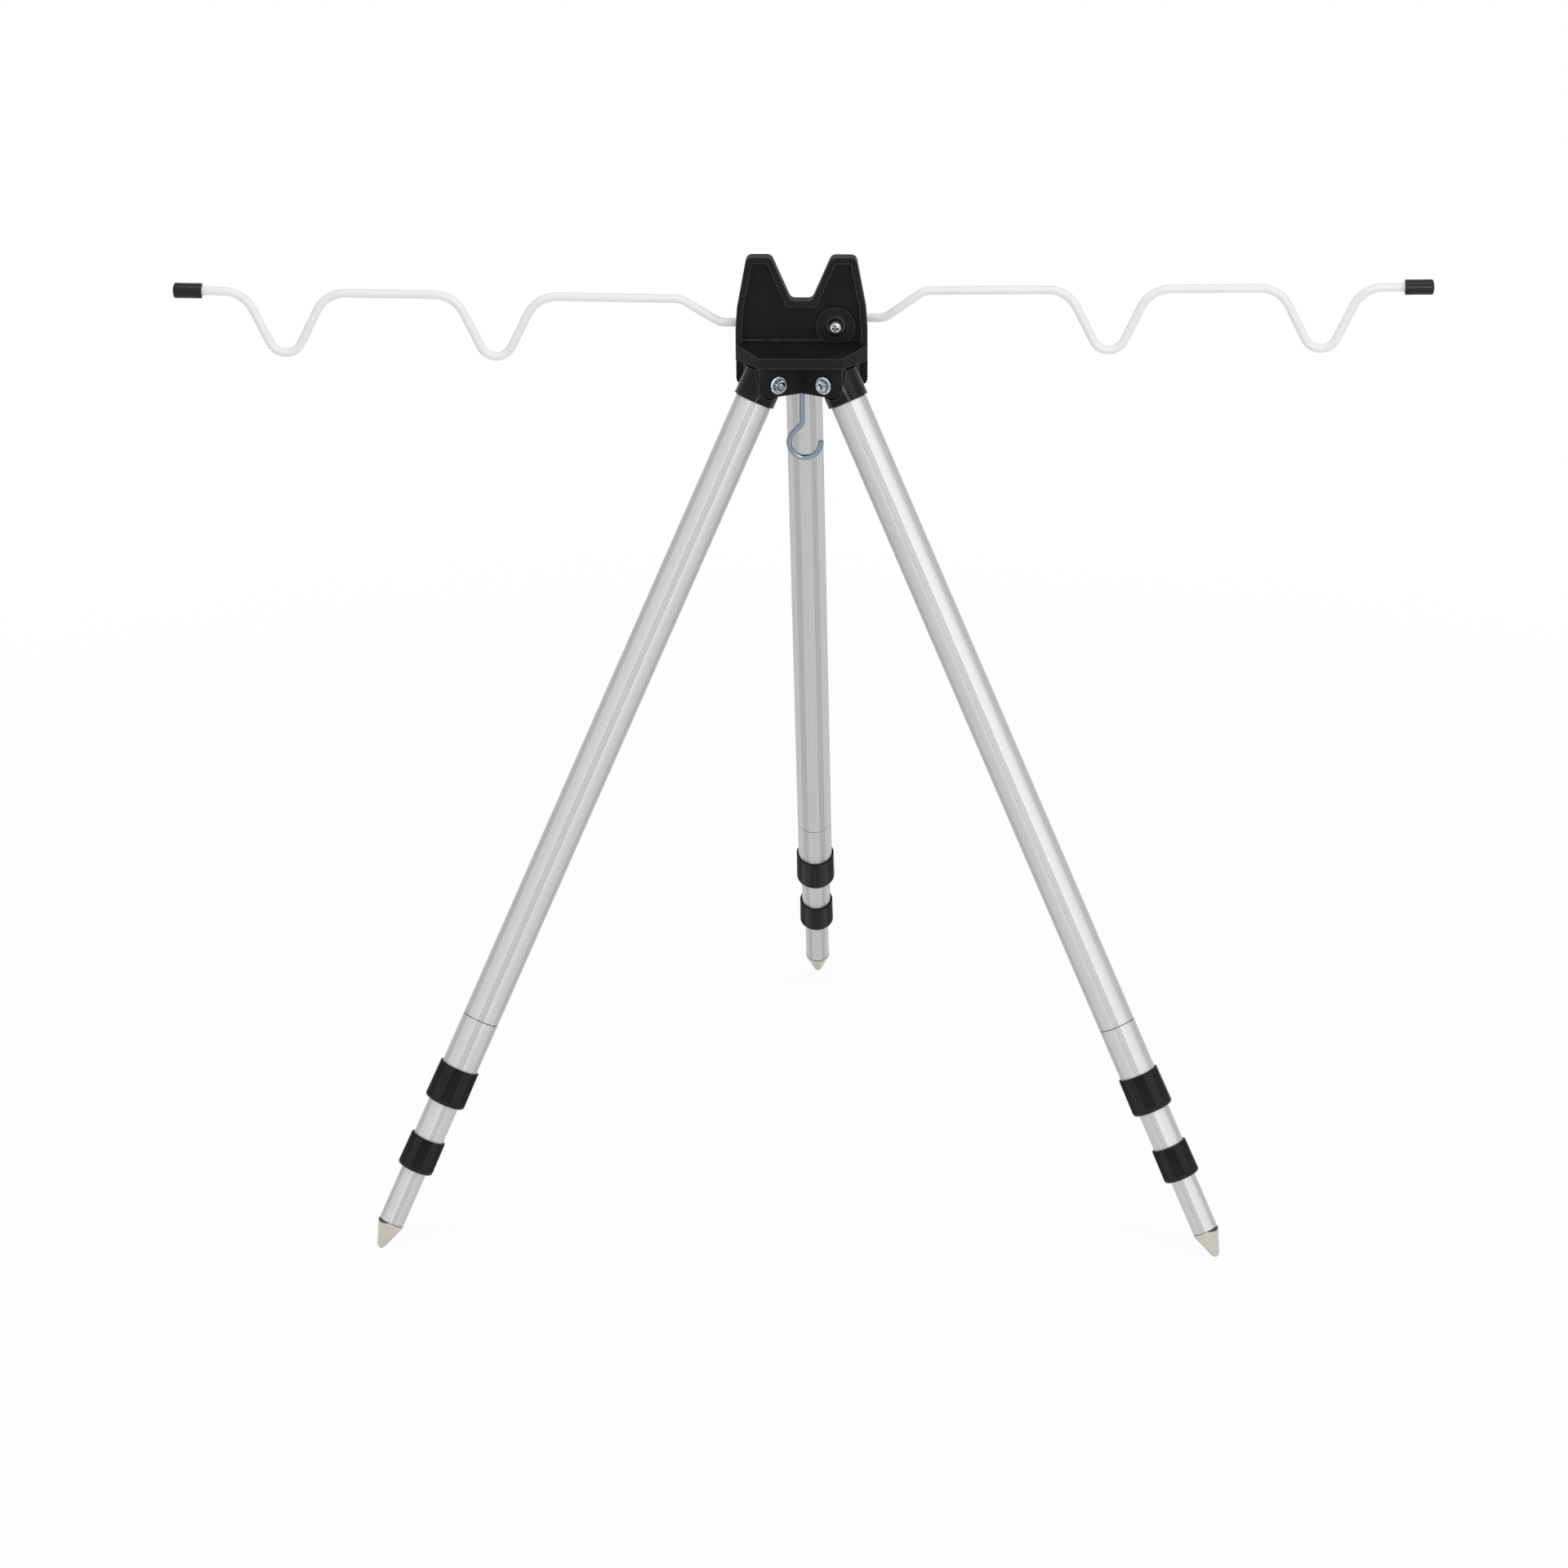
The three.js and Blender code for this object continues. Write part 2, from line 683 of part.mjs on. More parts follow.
// Front plate: an M outline with a raised rim round a shallow pocket, thinned to the web below
// the hood.
function frontPlate() {
  const corners = plateCorners();
  const plate = prismSolid('y', rounded(corners), -plateFront, plateBack);
  const inner = inset(corners, rimWidth).map(([x, z]) => [x, z, pocketCornerRadius]);
  const pocket = prismSolid('y', rounded(inner), -plateFront - cutOverrun, webFront);
  const half = headWidth / 2 + cutOverrun;
  const below = boxSolid([-half, half], [-plateFront - cutOverrun, webFront],
    [-lobeDrop - cutOverrun, hoodUnderHeight]);
  return without(plate, pocket, below);
}

// Hood: a sloping roof over the front hinges, straight at its front lip and wider at the plate.
function hood() {
  const side = headWidth / 2;
  const profile = [[-lipReach, hoodUnderHeight], [plateBack, hoodUnderHeight],
    [plateBack, hoodBackHeight], [webFront, hoodBackHeight], [-lipReach, lipHeight]];
  const slab = prismSolid('x', profile.map((p) => new THREE.Vector2(...p)), -side, side);
  const plan = [[-side, plateBack], [-side, -plateFront], [-lipWidth / 2, -lipReach, 1.5 * seatGap],
    [lipWidth / 2, -lipReach, 1.5 * seatGap], [side, -plateFront], [side, plateBack]];
  return slab.intersect(prismSolid('z', rounded(plan), hoodUnderHeight, hoodBackHeight));
}

// Two long ribs from the web to the rear hinge, with the ballast floor between them.
function rearRibs() {
  const end = rearPinRadius + tongueRadius;
  const profile = rounded([
    [webFront, -wallDrop],
    [end, -wallDrop, tongueRadius],
    [end, hoodUnderHeight, tongueRadius / 2],
    [rearWallBack, rearHornHeight],
    [rearWallBack, rearWallTop],
    [webFront, rearWallTop],
  ]);
  const block = prismSolid('x', profile, -wallFace, wallFace);
  const cut = wallInside;
  const slot = boxSolid([-cut, cut], [floorBack, end + cutOverrun],
    [-wallDrop - cutOverrun, hoodUnderHeight]);
  const inside = rearPinRadius - tongueRadius - wallFoldClearance;
  const nutRoom = hexAcrossFlats / 2 / Math.cos(Math.PI / 6) + 2 * seatGap;
  const cavity = boxSolid([-cut, cut], [-nutRoom, inside], [floorThickness - wallDrop, cavityTop]);
  return { block, cuts: [slot, cavity] };
}

function roofAndRearWall() {
  const half = rearWallWidth / 2;
  const wall = prismSolid('y', rounded([
    [-half, rearWallBottom, rearWallRadius],
    [half, rearWallBottom, rearWallRadius],
    [half, rearWallTop, hornCornerRadius],
    [-half, rearWallTop, hornCornerRadius],
  ]), rearWallFront, rearWallBack);
  const roofUnder = pivotHeight + armWireDia / 2 + 2 * seatGap;
  const roof = boxSolid([-half, half], [webFront, rearWallBack - hornCornerRadius / 2],
    [roofUnder, rearWallTop]);
  const eyeRoom = [-pivotX, pivotX].map((x) => prismSolid('y',
    circle(eyeRadius + armWireDia / 2 + 2 * seatGap, plainSides, x, pivotHeight),
    plateBack, rearWallFront));
  return joined(wall, without(roof, ...eyeRoom));
}

function pivotPost(x, from, to, diameter) {
  return prismSolid('y', circle(diameter / 2, plainSides, x, pivotHeight), from, to);
}

function headGeometry() {
  const ribs = rearRibs();
  const left = -90 - frontLegAzimuthDeg;
  const right = -90 + frontLegAzimuthDeg;
  const clevises = joined(frontClevis(left), frontClevis(right));
  const inFront = boxSolid([-headWidth, headWidth], [-lipReach - cutOverrun, plateBack],
    [-wallDrop - seatGap, hoodUnderHeight + seatGap]);
  const boss = pivotPost(pivotX, -bossFront, plateBack, bossDia);
  const rearBoss = pivotPost(-pivotX, rearWallFront, rearWallBack + rearBossRise, rearBossDia);
  const rightPost = pivotPost(pivotX, webFront, rightArmDepth - armWireDia / 2 - seatGap, postDia);
  const leftPost = pivotPost(-pivotX, leftArmDepth + armWireDia / 2 + seatGap, rearWallBack, postDia);
  const body = joined(frontPlate(), hood(), clevises.intersect(inFront), ribs.block,
    roofAndRearWall(), boss, rearBoss, rightPost, leftPost);
  const rearBossFace = rearWallBack + rearBossRise;
  const cuts = [
    ...ribs.cuts,
    frontSlot(left),
    frontSlot(right),
    hingePocket(left, -1),
    hingePocket(right, 1),
    boltHole(left, frontPinRadius),
    boltHole(right, frontPinRadius),
    boltHole(90, rearPinRadius),
    pivotPost(pivotX, -plateFront - cutOverrun, -counterboreFloorFront, counterboreDia),
    pivotPost(-pivotX, rearBossFace - counterboreDepthRear, rearBossFace + cutOverrun, counterboreDia),
    pivotPost(pivotX, -plateFront - cutOverrun, rearWallBack + cutOverrun, 2 * boltHoleRadius),
    pivotPost(-pivotX, webFront + blindHoleStop, rearBossFace + cutOverrun, 2 * boltHoleRadius),
    prismSolid('z', circle(hookWireDia / 2 + seatGap, smallSides), -wallDrop - cutOverrun,
      floorThickness - wallDrop + seatGap),
  ];
  return geometryOf(without(body, ...cuts));
}

// Rod arms. The wire is drawn for the right side, from the eye outwards, and mirrored for the left.
function armWire(side, depth, rise) {
  const place = (p, isDirection) => new THREE.Vector3(side * p.x, isDirection ? 0 : depth, p.y);
  const eyeStart = new THREE.Vector2(Math.cos(eyeEndDeg * deg), Math.sin(eyeEndDeg * deg));
  const wire = new BentWire(eyeStart.multiplyScalar(eyeRadius), eyeEndDeg + 90, place);
  wire.bend(eyeRadius, 360 - eyeEndDeg - eyeNeckDeg);
  const neckTurn = eyeNeckDeg - 90;
  const drop = -wire.at.y;
  const neckRadius = drop / (1 - Math.cos(neckTurn * deg));
  wire.heading = -neckTurn * deg;
  wire.bend(neckRadius, neckTurn);
  wire.run(joggleStart - pivotX - wire.at.x);
  const joggleDeg = Math.atan2(rise, joggleRun) / deg;
  const ease = joggleRadius * Math.tan((joggleDeg * deg) / 2);
  wire.bend(joggleRadius, joggleDeg);
  wire.run(Math.hypot(rise, joggleRun) - 2 * ease);
  wire.bend(joggleRadius, flatRiseDeg - joggleDeg);
  const sine = Math.sin(dipSideDeg * deg);
  const sag = 1 - Math.cos(dipSideDeg * deg);
  const slope = (dipDepth - (dipBottomRadius + dipShoulderRadius) * sag) / sine;
  const halfDip = (dipBottomRadius + dipShoulderRadius) * sine + slope * Math.cos(dipSideDeg * deg);
  for (const dip of [innerDipReach, outerDipReach]) {
    wire.run((dip - halfDip - pivotX - wire.at.x) / Math.cos(flatRiseDeg * deg));
    wire.bend(dipShoulderRadius, -dipSideDeg).run(slope).bend(dipBottomRadius, 2 * dipSideDeg);
    wire.run(slope).bend(dipShoulderRadius, -dipSideDeg);
  }
  wire.run((outerDipReach + armEndReach - pivotX - wire.at.x) / Math.cos(flatRiseDeg * deg));
  return wire;
}

function capGeometry() {
  const radius = capDia / 2;
  const hole = (armWireDia / 2 + capGrip) / Math.cos(Math.PI / plainSides);
  const end = arcPoints(radius - capEdgeRadius, capLength - capEdgeRadius, capEdgeRadius, 0, 90, 2)
    .map((p) => [p.x, p.y]);
  return turned([[0, capBoreDepth + seatGap], [hole, capBoreDepth + seatGap], [hole, 0], [radius, 0],
    ...end, [0, capLength]], plainSides);
}

function addArm(group, name, side, depth, rise) {
  const wire = armWire(side, depth, rise);
  const arm = piece(`rod_arm_${name}`, coatedWire, geometryOf(solidOf(wire.geometry(armWireDia))));
  arm.position.set(side * pivotX, 0, pivotHeight);
  const cap = piece(`arm_cap_${name}`, capRubber, capGeometry());
  const tip = wire.stations.at(-1);
  cap.position.copy(tip.point).addScaledVector(tip.tangent, -capBoreDepth).add(arm.position);
  cap.quaternion.setFromUnitVectors(new THREE.Vector3(0, 0, 1), tip.tangent);
  group.add(arm, cap);
}

function addPivotScrew(group, name, side, seat, end, towardsBack) {
  const outwards = towardsBack ? 1 : -1;
  const bushSeat = seat + outwards * seatGap;
  const headSeat = bushSeat + outwards * (pivotBushLength + seatGap);
  const bush = piece(`pivot_bush_${name}`, bushNylon, alongY(pivotBush(), towardsBack));
  bush.position.set(side * pivotX, bushSeat, pivotHeight);
  const length = Math.abs(headSeat - end);
  const screw = piece(`arm_screw_${name}`, zinc, alongY(pivotScrew(length), towardsBack));
  screw.position.set(side * pivotX, headSeat, pivotHeight);
  group.add(bush, screw);
}

// Ballast hook: a straight stem that swings to one side into a round loop open at the top.
function addHook(group) {
  const floor = floorThickness - wallDrop;
  const nutSeat = floor + seatGap;
  const stemTop = nutSeat + hookNutHeight + hookEndShows;
  const cosine = Math.cos(hookSwingDeg * deg);
  const swingRadius = (hookLoopRadius * cosine - hookLoopOffset) / (1 - cosine);
  const joinDrop = hookLoopDrop - hookLoopRadius * Math.sin(hookSwingDeg * deg);
  const swingStart = joinDrop - swingRadius * Math.sin(hookSwingDeg * deg);
  const place = (p) => new THREE.Vector3(p.x, 0, p.y);
  const wire = new BentWire(new THREE.Vector2(0, stemTop), -90, place);
  wire.run(stemTop + swingStart).bend(swingRadius, -hookSwingDeg);
  wire.bend(hookLoopRadius, 180 + hookSwingDeg).run(hookEndShows);
  const hook = piece('ballast_hook', zinc, geometryOf(solidOf(wire.geometry(hookWireDia))));
  const nutBlank = prismSolid('z', hexagon(), nutSeat, nutSeat + hookNutHeight);
  const nutHole = prismSolid('z', circle(hookWireDia / 2 + seatGap, smallSides), nutSeat - cutOverrun,
    nutSeat + cutOverrun);
  group.add(hook, piece('hook_nut', zinc, geometryOf(without(nutBlank, nutHole))));
}

// One leg: its hinge bolt and nut in the head, and everything that hangs on them.
function addLeg(group, name, azimuthDeg, radius, headSeat, nutSeat) {
  const hinge = new THREE.Group();
  hinge.position.set(radius * Math.cos(azimuthDeg * deg), radius * Math.sin(azimuthDeg * deg), 0);
  hinge.rotation.z = azimuthDeg * deg;
  const boltLength = headSeat + nutSeat + 2 * seatGap + flangeThickness + nutHexHeight + boltEndShows;
  const bolt = piece(`hinge_bolt_${name}`, zinc, alongY(hingeBolt(boltLength), false));
  bolt.position.y = -headSeat - seatGap;
  const nut = piece(`hinge_nut_${name}`, zinc, alongY(hingeNut(), true));
  nut.position.y = nutSeat + seatGap;

  const leg = new THREE.Group();
  leg.rotation.y = -splay;
  const tubes = new THREE.Group();
  tubes.position.x = legOffset;
  const sleeveEnd = upperCollarTop + collarOverTube;
  const midEnd = lowerCollarTop + collarOverTube;
  const midTubeTop = midTop + bushFlangeLength + seatGap;
  const innerTubeTop = innerTop + bushFlangeLength + seatGap;
  tubes.add(
    piece(`outer_tube_${name}`, anodised,
      legTube(outerTubeDia, tubeTop, seam, outerGrooveGroups, outerGroovesPerGroup)),
    piece(`lock_sleeve_${name}`, anodised,
      legTube(outerTubeDia, seam + seatGap, sleeveEnd, outerGrooveGroups, outerGroovesPerGroup)),
    piece(`upper_collet_${name}`, nylon, colletGeometry(sleeveEnd, outerTubeDia, midTubeDia)),
    piece(`upper_collar_${name}`, collarBlack,
      collarGeometry(upperCollarDia, upperCollarTop, upperCollarLength, outerTubeDia, midTubeDia)),
    piece(`mid_bush_${name}`, nylon, bushGeometry(midTop, outerTubeDia, midTubeDia)),
    piece(`mid_tube_${name}`, anodised,
      legTube(midTubeDia, midTubeTop, midEnd, innerGrooveGroups, innerGroovesPerGroup)),
    piece(`lower_collet_${name}`, nylon, colletGeometry(midEnd, midTubeDia, innerTubeDia)),
    piece(`lower_collar_${name}`, collarBlack,
      collarGeometry(lowerCollarDia, lowerCollarTop, lowerCollarLength, midTubeDia, innerTubeDia)),
    piece(`inner_bush_${name}`, nylon, bushGeometry(innerTop, midTubeDia, innerTubeDia)),
    piece(`inner_tube_${name}`, anodised,
      legTube(innerTubeDia, innerTubeTop, footBase - seatGap, innerGrooveGroups, innerGroovesPerGroup)),
    piece(`foot_spike_${name}`, nickel, footGeometry()),
  );
  leg.add(piece(`leg_fitting_${name}`, moulded, fittingGeometry()), tubes);
  hinge.add(bolt, nut, leg);
  group.add(hinge);
}

function buildTripod() {
  const top = new THREE.Group();
  top.position.z = pinHeight;
  top.add(piece('head_block', moulded, headGeometry()));
  addLeg(top, 'left', -90 - frontLegAzimuthDeg, frontPinRadius, pocketSeat, wallFace);
  addLeg(top, 'right', -90 + frontLegAzimuthDeg, frontPinRadius, wallFace, pocketSeat);
  addLeg(top, 'rear', 90, rearPinRadius, wallFace, wallFace);
  addArm(top, 'left', -1, leftArmDepth, joggleRiseLeft);
  addArm(top, 'right', 1, rightArmDepth, joggleRiseRight);
  const rearBossFace = rearWallBack + rearBossRise;
  addPivotScrew(top, 'right', 1, -counterboreFloorFront, rearWallBack - seatGap, false);
  addPivotScrew(top, 'left', -1, rearBossFace - counterboreDepthRear, webFront + blindHoleStop + seatGap,
    true);
  addHook(top);
  return top;
}

// The origin is on the ground, under the middle of the object's outline.
const tripod = new THREE.Group();
const top = buildTripod();
tripod.add(top);
tripod.updateMatrixWorld(true);
const box = new THREE.Box3().setFromObject(tripod, true);
const middle = box.getCenter(new THREE.Vector3());
top.position.x -= middle.x;
top.position.y -= middle.y;
top.position.z -= box.min.z;

export default tripod;
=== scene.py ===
"""Surf rod tripod: fine pieces, finishes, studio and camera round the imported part."""

import json
import math

import bmesh
import bpy
from bpy.props import FloatProperty, FloatVectorProperty, IntProperty, PointerProperty
from mathutils import Matrix, Vector


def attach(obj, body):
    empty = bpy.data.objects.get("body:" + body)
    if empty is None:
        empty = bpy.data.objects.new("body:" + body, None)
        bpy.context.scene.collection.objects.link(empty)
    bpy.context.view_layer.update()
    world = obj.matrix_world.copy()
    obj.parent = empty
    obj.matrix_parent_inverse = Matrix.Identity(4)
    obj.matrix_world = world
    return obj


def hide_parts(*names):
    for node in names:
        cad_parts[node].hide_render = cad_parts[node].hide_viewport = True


bl_info = {
    "name": "Surf rod tripod",
    "version": (1, 0, 0),
    "blender": (4, 5, 0),
    "location": "View3D > Sidebar > Rod tripod",
    "description": "Builds the fine pieces, finishes and studio of a folding surf rod tripod",
    "category": "Object",
}

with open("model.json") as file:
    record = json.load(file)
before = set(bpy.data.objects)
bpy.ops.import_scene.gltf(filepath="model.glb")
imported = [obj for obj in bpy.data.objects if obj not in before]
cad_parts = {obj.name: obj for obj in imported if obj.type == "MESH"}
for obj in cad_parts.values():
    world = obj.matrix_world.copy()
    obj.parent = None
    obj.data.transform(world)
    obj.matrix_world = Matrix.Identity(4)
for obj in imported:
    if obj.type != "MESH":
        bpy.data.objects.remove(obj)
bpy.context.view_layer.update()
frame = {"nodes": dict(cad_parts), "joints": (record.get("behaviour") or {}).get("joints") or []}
NODES = frame["nodes"]
JOINTS = {joint["name"]: joint for joint in frame["joints"]}
LEGS = ("left", "right", "rear")
ARMS = {"left": -1, "right": 1}
MM = 0.001
CREASE = math.radians(32.0)


# Sizes and colours


def length(name, value, description):
    return FloatProperty(
        name=name, description=description, default=value * MM, min=0.0, unit="LENGTH", precision=5
    )


def colour(name, value, description):
    return FloatVectorProperty(
        name=name, description=description, default=value, min=0.0, max=1.0, subtype="COLOR", size=3
    )


def share(name, value, description):
    return FloatProperty(
        name=name, description=description, default=value, min=0.0, max=1.0, subtype="FACTOR"
    )


def angle(name, degrees, description):
    return FloatProperty(
        name=name, description=description, default=math.radians(degrees), subtype="ANGLE"
    )


def number(name, value, description):
    return FloatProperty(name=name, description=description, default=value)


def count(name, value, description):
    return IntProperty(name=name, description=description, default=value)


class TripodSizes(bpy.types.PropertyGroup):
    """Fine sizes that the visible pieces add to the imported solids"""

    groove_depth: length("Tube groove depth", 0.17, "Depth of the fine grooves along the tubes")
    groove_pitch: length("Tube groove pitch", 1.15, "Distance between two grooves of a group")
    outer_groups: count("Outer tube groups", 6, "Groove groups round the upper tube")
    inner_groups: count("Inner tube groups", 5, "Groove groups round the sliding tubes")
    collar_depth: length("Collar groove depth", 0.65, "Depth of the grip grooves in the collars")
    collar_pitch: length("Collar groove pitch", 1.9, "Distance between two grip grooves")
    collar_lip: length("Collar lip", 1.9, "Radius of the smooth lower lip of a collar")
    tube_edge: length("Tube edge", 0.4, "Radius of the broken edges of the tubes' ends")
    edge: length("Collar edge", 0.35, "Radius of the broken upper edge of a collar")
    mould_edge: length("Moulded edge", 0.5, "Radius on the edges of the moulded head and fittings")
    wire: length("Arm wire", 5.9, "Diameter of the coated arm wire")
    hook_wire: length("Hook wire", 4.0, "Diameter of the hook's wire")
    thread_pitch: length("Thread pitch", 0.8, "Pitch of the bolt threads")
    recess: length("Cross recess", 4.6, "Width across the cross recess of a screw head")


class TripodFinishes(bpy.types.PropertyGroup):
    """Colours and sheen of the finishes"""

    head: colour("Moulded black", (0.0088, 0.0090, 0.0098), "Head of the tripod")
    fitting: colour("Fitting black", (0.0048, 0.0048, 0.0053), "Leg fittings")
    bush: colour("Bush black", (0.014, 0.014, 0.015), "Pivot bushes")
    collar: colour("Collar black", (0.0095, 0.0100, 0.0106), "Twist collars")
    cap: colour("Cap black", (0.0050, 0.0050, 0.0053), "Arm end caps")
    nylon: colour("Inner nylon", (0.045, 0.045, 0.047), "Bushes and collets")
    tube: colour("Anodised tube", (0.65, 0.65, 0.652), "Leg tubes")
    coat: colour("Arm coating", (0.83, 0.834, 0.845), "White coating of the rod arms")
    zinc: colour("Zinc plate", (0.55, 0.58, 0.61), "Bolts, nuts and screws")
    hook: colour("Hook zinc", (0.30, 0.34, 0.38), "Ballast hook")
    nickel: colour("Nickel plate", (0.65, 0.62, 0.57), "Foot spikes")
    mould_sheen: share("Moulded roughness", 0.44, "Roughness of the moulded head")
    fitting_sheen: share("Fitting roughness", 0.12, "Roughness of the leg fittings")
    tube_sheen: share("Tube roughness", 0.47, "Roughness of the anodised tubes")


class TripodStudio(bpy.types.PropertyGroup):
    """Camera, floor and lamps"""

    eye_distance: length("Camera distance", 3500.7, "Distance in front of the tripod")
    eye_height: length("Camera height", 1607.53, "Height above the floor")
    eye_turn: angle("Tripod turn", 1.84, "How far the tripod stands turned from the camera")
    eye_pan: angle("Camera pan", 0.22, "Pan of the camera")
    eye_pitch: angle("Camera pitch", 20.76, "Downward tilt of the camera")
    eye_roll: angle("Camera roll", -0.28, "Roll of the camera")
    lens: number("Lens", 123.61, "Focal length in millimetres")
    floor: colour("Floor", (0.93, 0.93, 0.93), "Pale studio floor")
    sky: number("Sky light", 0.85, "Strength of the even light from all round")
    key: number("Key lamp", 9.0, "Power of the large lamp on the right")
    front: number("Front lamp", 11.0, "Power of the upright strip in front")
    top: number("Top lamp", 12.0, "Power of the wide strip overhead")


# Finishes


class Value:
    """What comes out of a node. Sums, differences and products of values add Math nodes."""

    def __init__(self, nodes, socket):
        self.nodes = nodes
        self.socket = socket

    def maths(self, operation, first, second):
        return self.nodes.node("ShaderNodeMath", {"operation": operation}, {0: first, 1: second})

    def __add__(self, other):
        return self.maths("ADD", self, other)

    def __radd__(self, other):
        return self.maths("ADD", other, self)

    def __sub__(self, other):
        return self.maths("SUBTRACT", self, other)

    def __rsub__(self, other):
        return self.maths("SUBTRACT", other, self)

    def __mul__(self, other):
        return self.maths("MULTIPLY", self, other)

    def __rmul__(self, other):
        return self.maths("MULTIPLY", other, self)


class Nodes:
    """The nodes of one tree, which starts empty."""

    def __init__(self, tree):
        self.tree = tree
        tree.nodes.clear()

    def add(self, kind, settings=None, inputs=None):
        """A new node. Its settings are set before the values and links of its sockets."""
        node = self.tree.nodes.new(kind)
        for key, value in (settings or {}).items():
            setattr(node, key, value)
        for key, value in (inputs or {}).items():
            self.feed(node.inputs[key], value)
        return node

    def node(self, kind, settings=None, inputs=None, output=0):
        """What comes out of a new node."""
        return Value(self, self.add(kind, settings, inputs).outputs[output])

    def ray(self, kind):
        """1 for light rays of a kind, and 0 for others."""
        return self.node("ShaderNodeLightPath", output=f"Is {kind} Ray")

    def feed(self, socket, value):
        if isinstance(value, Value):
            self.tree.links.new(value.socket, socket)
        elif socket.type == "RGBA" and len(value) == 3:
            socket.default_value = (*value, 1.0)
        else:
            socket.default_value = value


class Finish(Nodes):
    """A procedural material built on one Principled shader. Its patterns lie in the piece's own
    coordinates, or in the solid's for a packed one."""

    def __init__(self, name, local=True, **constants):
        self.material = bpy.data.materials.new(name)
        self.material.use_nodes = True
        super().__init__(self.material.node_tree)
        self.shader = self.add("ShaderNodeBsdfPrincipled")
        surface = Value(self, self.shader.outputs[0])
        self.output = self.add("ShaderNodeOutputMaterial", None, {"Surface": surface})
        self.put(**constants)
        if local:
            self.place = self.stored("local", "Vector")
        else:
            self.place = self.node("ShaderNodeTexCoord", output="Object")

    def vector(self, operation, *inputs, output=0):
        return self.node(
            "ShaderNodeVectorMath", {"operation": operation}, dict(enumerate(inputs)), output
        )

    def noise(self, scale, stretch=None, detail=3.0, roughness=0.55):
        where = self.vector("MULTIPLY", self.place, stretch) if stretch else self.place
        return self.node(
            "ShaderNodeTexNoise",
            None,
            {"Vector": where, "Scale": scale, "Detail": detail, "Roughness": roughness},
        )

    def stored(self, name, output):
        return self.node("ShaderNodeAttribute", {"attribute_name": name}, output=output)

    def hollow(self):
        """Painted shade from 0 to 1, mostly by how deep in a groove or corner the surface lies."""
        return self.stored("hollow", "Fac")

    def spread(self, value, low, high, to_low=0.0, to_high=1.0):
        ends = {"From Min": low, "From Max": high, "To Min": to_low, "To Max": to_high}
        return self.node(
            "ShaderNodeMapRange", {"interpolation_type": "SMOOTHSTEP"}, {"Value": value, **ends}
        )

    def mixed(self, factor, first, second):
        return self.node(
            "ShaderNodeMix", {"data_type": "RGBA"}, {0: factor, 6: first, 7: second}, output=2
        )

    def bump(self, height, reach):
        return self.node(
            "ShaderNodeBump", None, {"Height": height, "Distance": reach, "Strength": 1.0}
        )

    def put(self, **values):
        for key, value in values.items():
            self.feed(self.shader.inputs[key.replace("_", " ")], value)


def tinted(tint, factor):
    return tuple(min(1.0, channel * factor) for channel in tint)


def moulded(name, tint, roughness, shine=0.3, local=True, edge_highlight=False, highlight_line=None):
    """Satin moulded plastic: fine grain, faint flow marks, paler touches and, where asked, a
    painted highlight on convex edges and a painted highlight line along X through a point."""
    finish = Finish(name, local, Specular_IOR_Level=shine)
    flow = finish.spread(finish.noise(38.0, (1.0, 1.0, 0.35)), 0.3, 0.7)
    speck = finish.noise(1400.0, detail=1.0)
    scuff = finish.spread(finish.noise(170.0, (1.0, 1.0, 0.25), 5.0, 0.7), 0.62, 0.80)
    base = finish.mixed(flow, tinted(tint, 0.85), tinted(tint, 1.2))
    # Random paler scuffs, to which the painted highlights below are added
    scuffs_and_highlights = scuff * 0.25
    if edge_highlight:
        # Painted highlight: convex edges, found by inward ambient occlusion, are painted paler
        rays = {"inside": True, "samples": 8}
        edge = finish.node("ShaderNodeAmbientOcclusion", rays, {"Distance": 0.6 * MM}, "AO")
        scuffs_and_highlights = scuffs_and_highlights + finish.spread(1.0 - edge, 0.04, 0.30, 0.0, 0.8)
    if highlight_line:
        # Painted highlight: a pale, patchy line along X through the given point
        apart = finish.vector("SUBTRACT", finish.place, highlight_line)
        apart = finish.vector("MULTIPLY", apart, (0.0, 1.0, 1.0))
        apart = finish.vector("LENGTH", apart, output="Value")
        patchy = finish.spread(finish.noise(70.0, (1.0, 0.0, 0.0), 2.0), 0.35, 0.6, 0.3, 1.0)
        scuffs_and_highlights = scuffs_and_highlights + finish.spread(apart, 0.5 * MM, 1.0 * MM, 1.0, 0.0) * patchy
    finish.put(
        Base_Color=finish.mixed(scuffs_and_highlights, base, tinted(tint, 7.0)),
        Roughness=roughness + flow * 0.08 + scuff * 0.08,
        Normal=finish.bump(speck + flow * 0.5, 0.006 * MM),
    )
    return finish.material


def ribbed(name, tint, roughness):
    """Moulded grip: satin plastic, glossier on the ribs, and dull and darkened by painted shade in
    the grooves between them.
    """
    finish = Finish(name, Specular_IOR_Level=0.2)
    flow = finish.spread(finish.noise(60.0, (1.0, 1.0, 0.4)), 0.3, 0.7)
    groove = finish.spread(finish.hollow(), 0.15, 0.85)
    base = finish.mixed(flow, tinted(tint, 0.9), tinted(tint, 1.3))
    finish.put(
        # Painted shade: the grooves are darkened almost to black
        Base_Color=finish.mixed(groove, base, tinted(tint, 0.05)),
        Roughness=roughness + flow * 0.06 + groove * 0.25,
        Normal=finish.bump(finish.noise(1500.0, detail=1.0), 0.005 * MM),
    )
    return finish.material


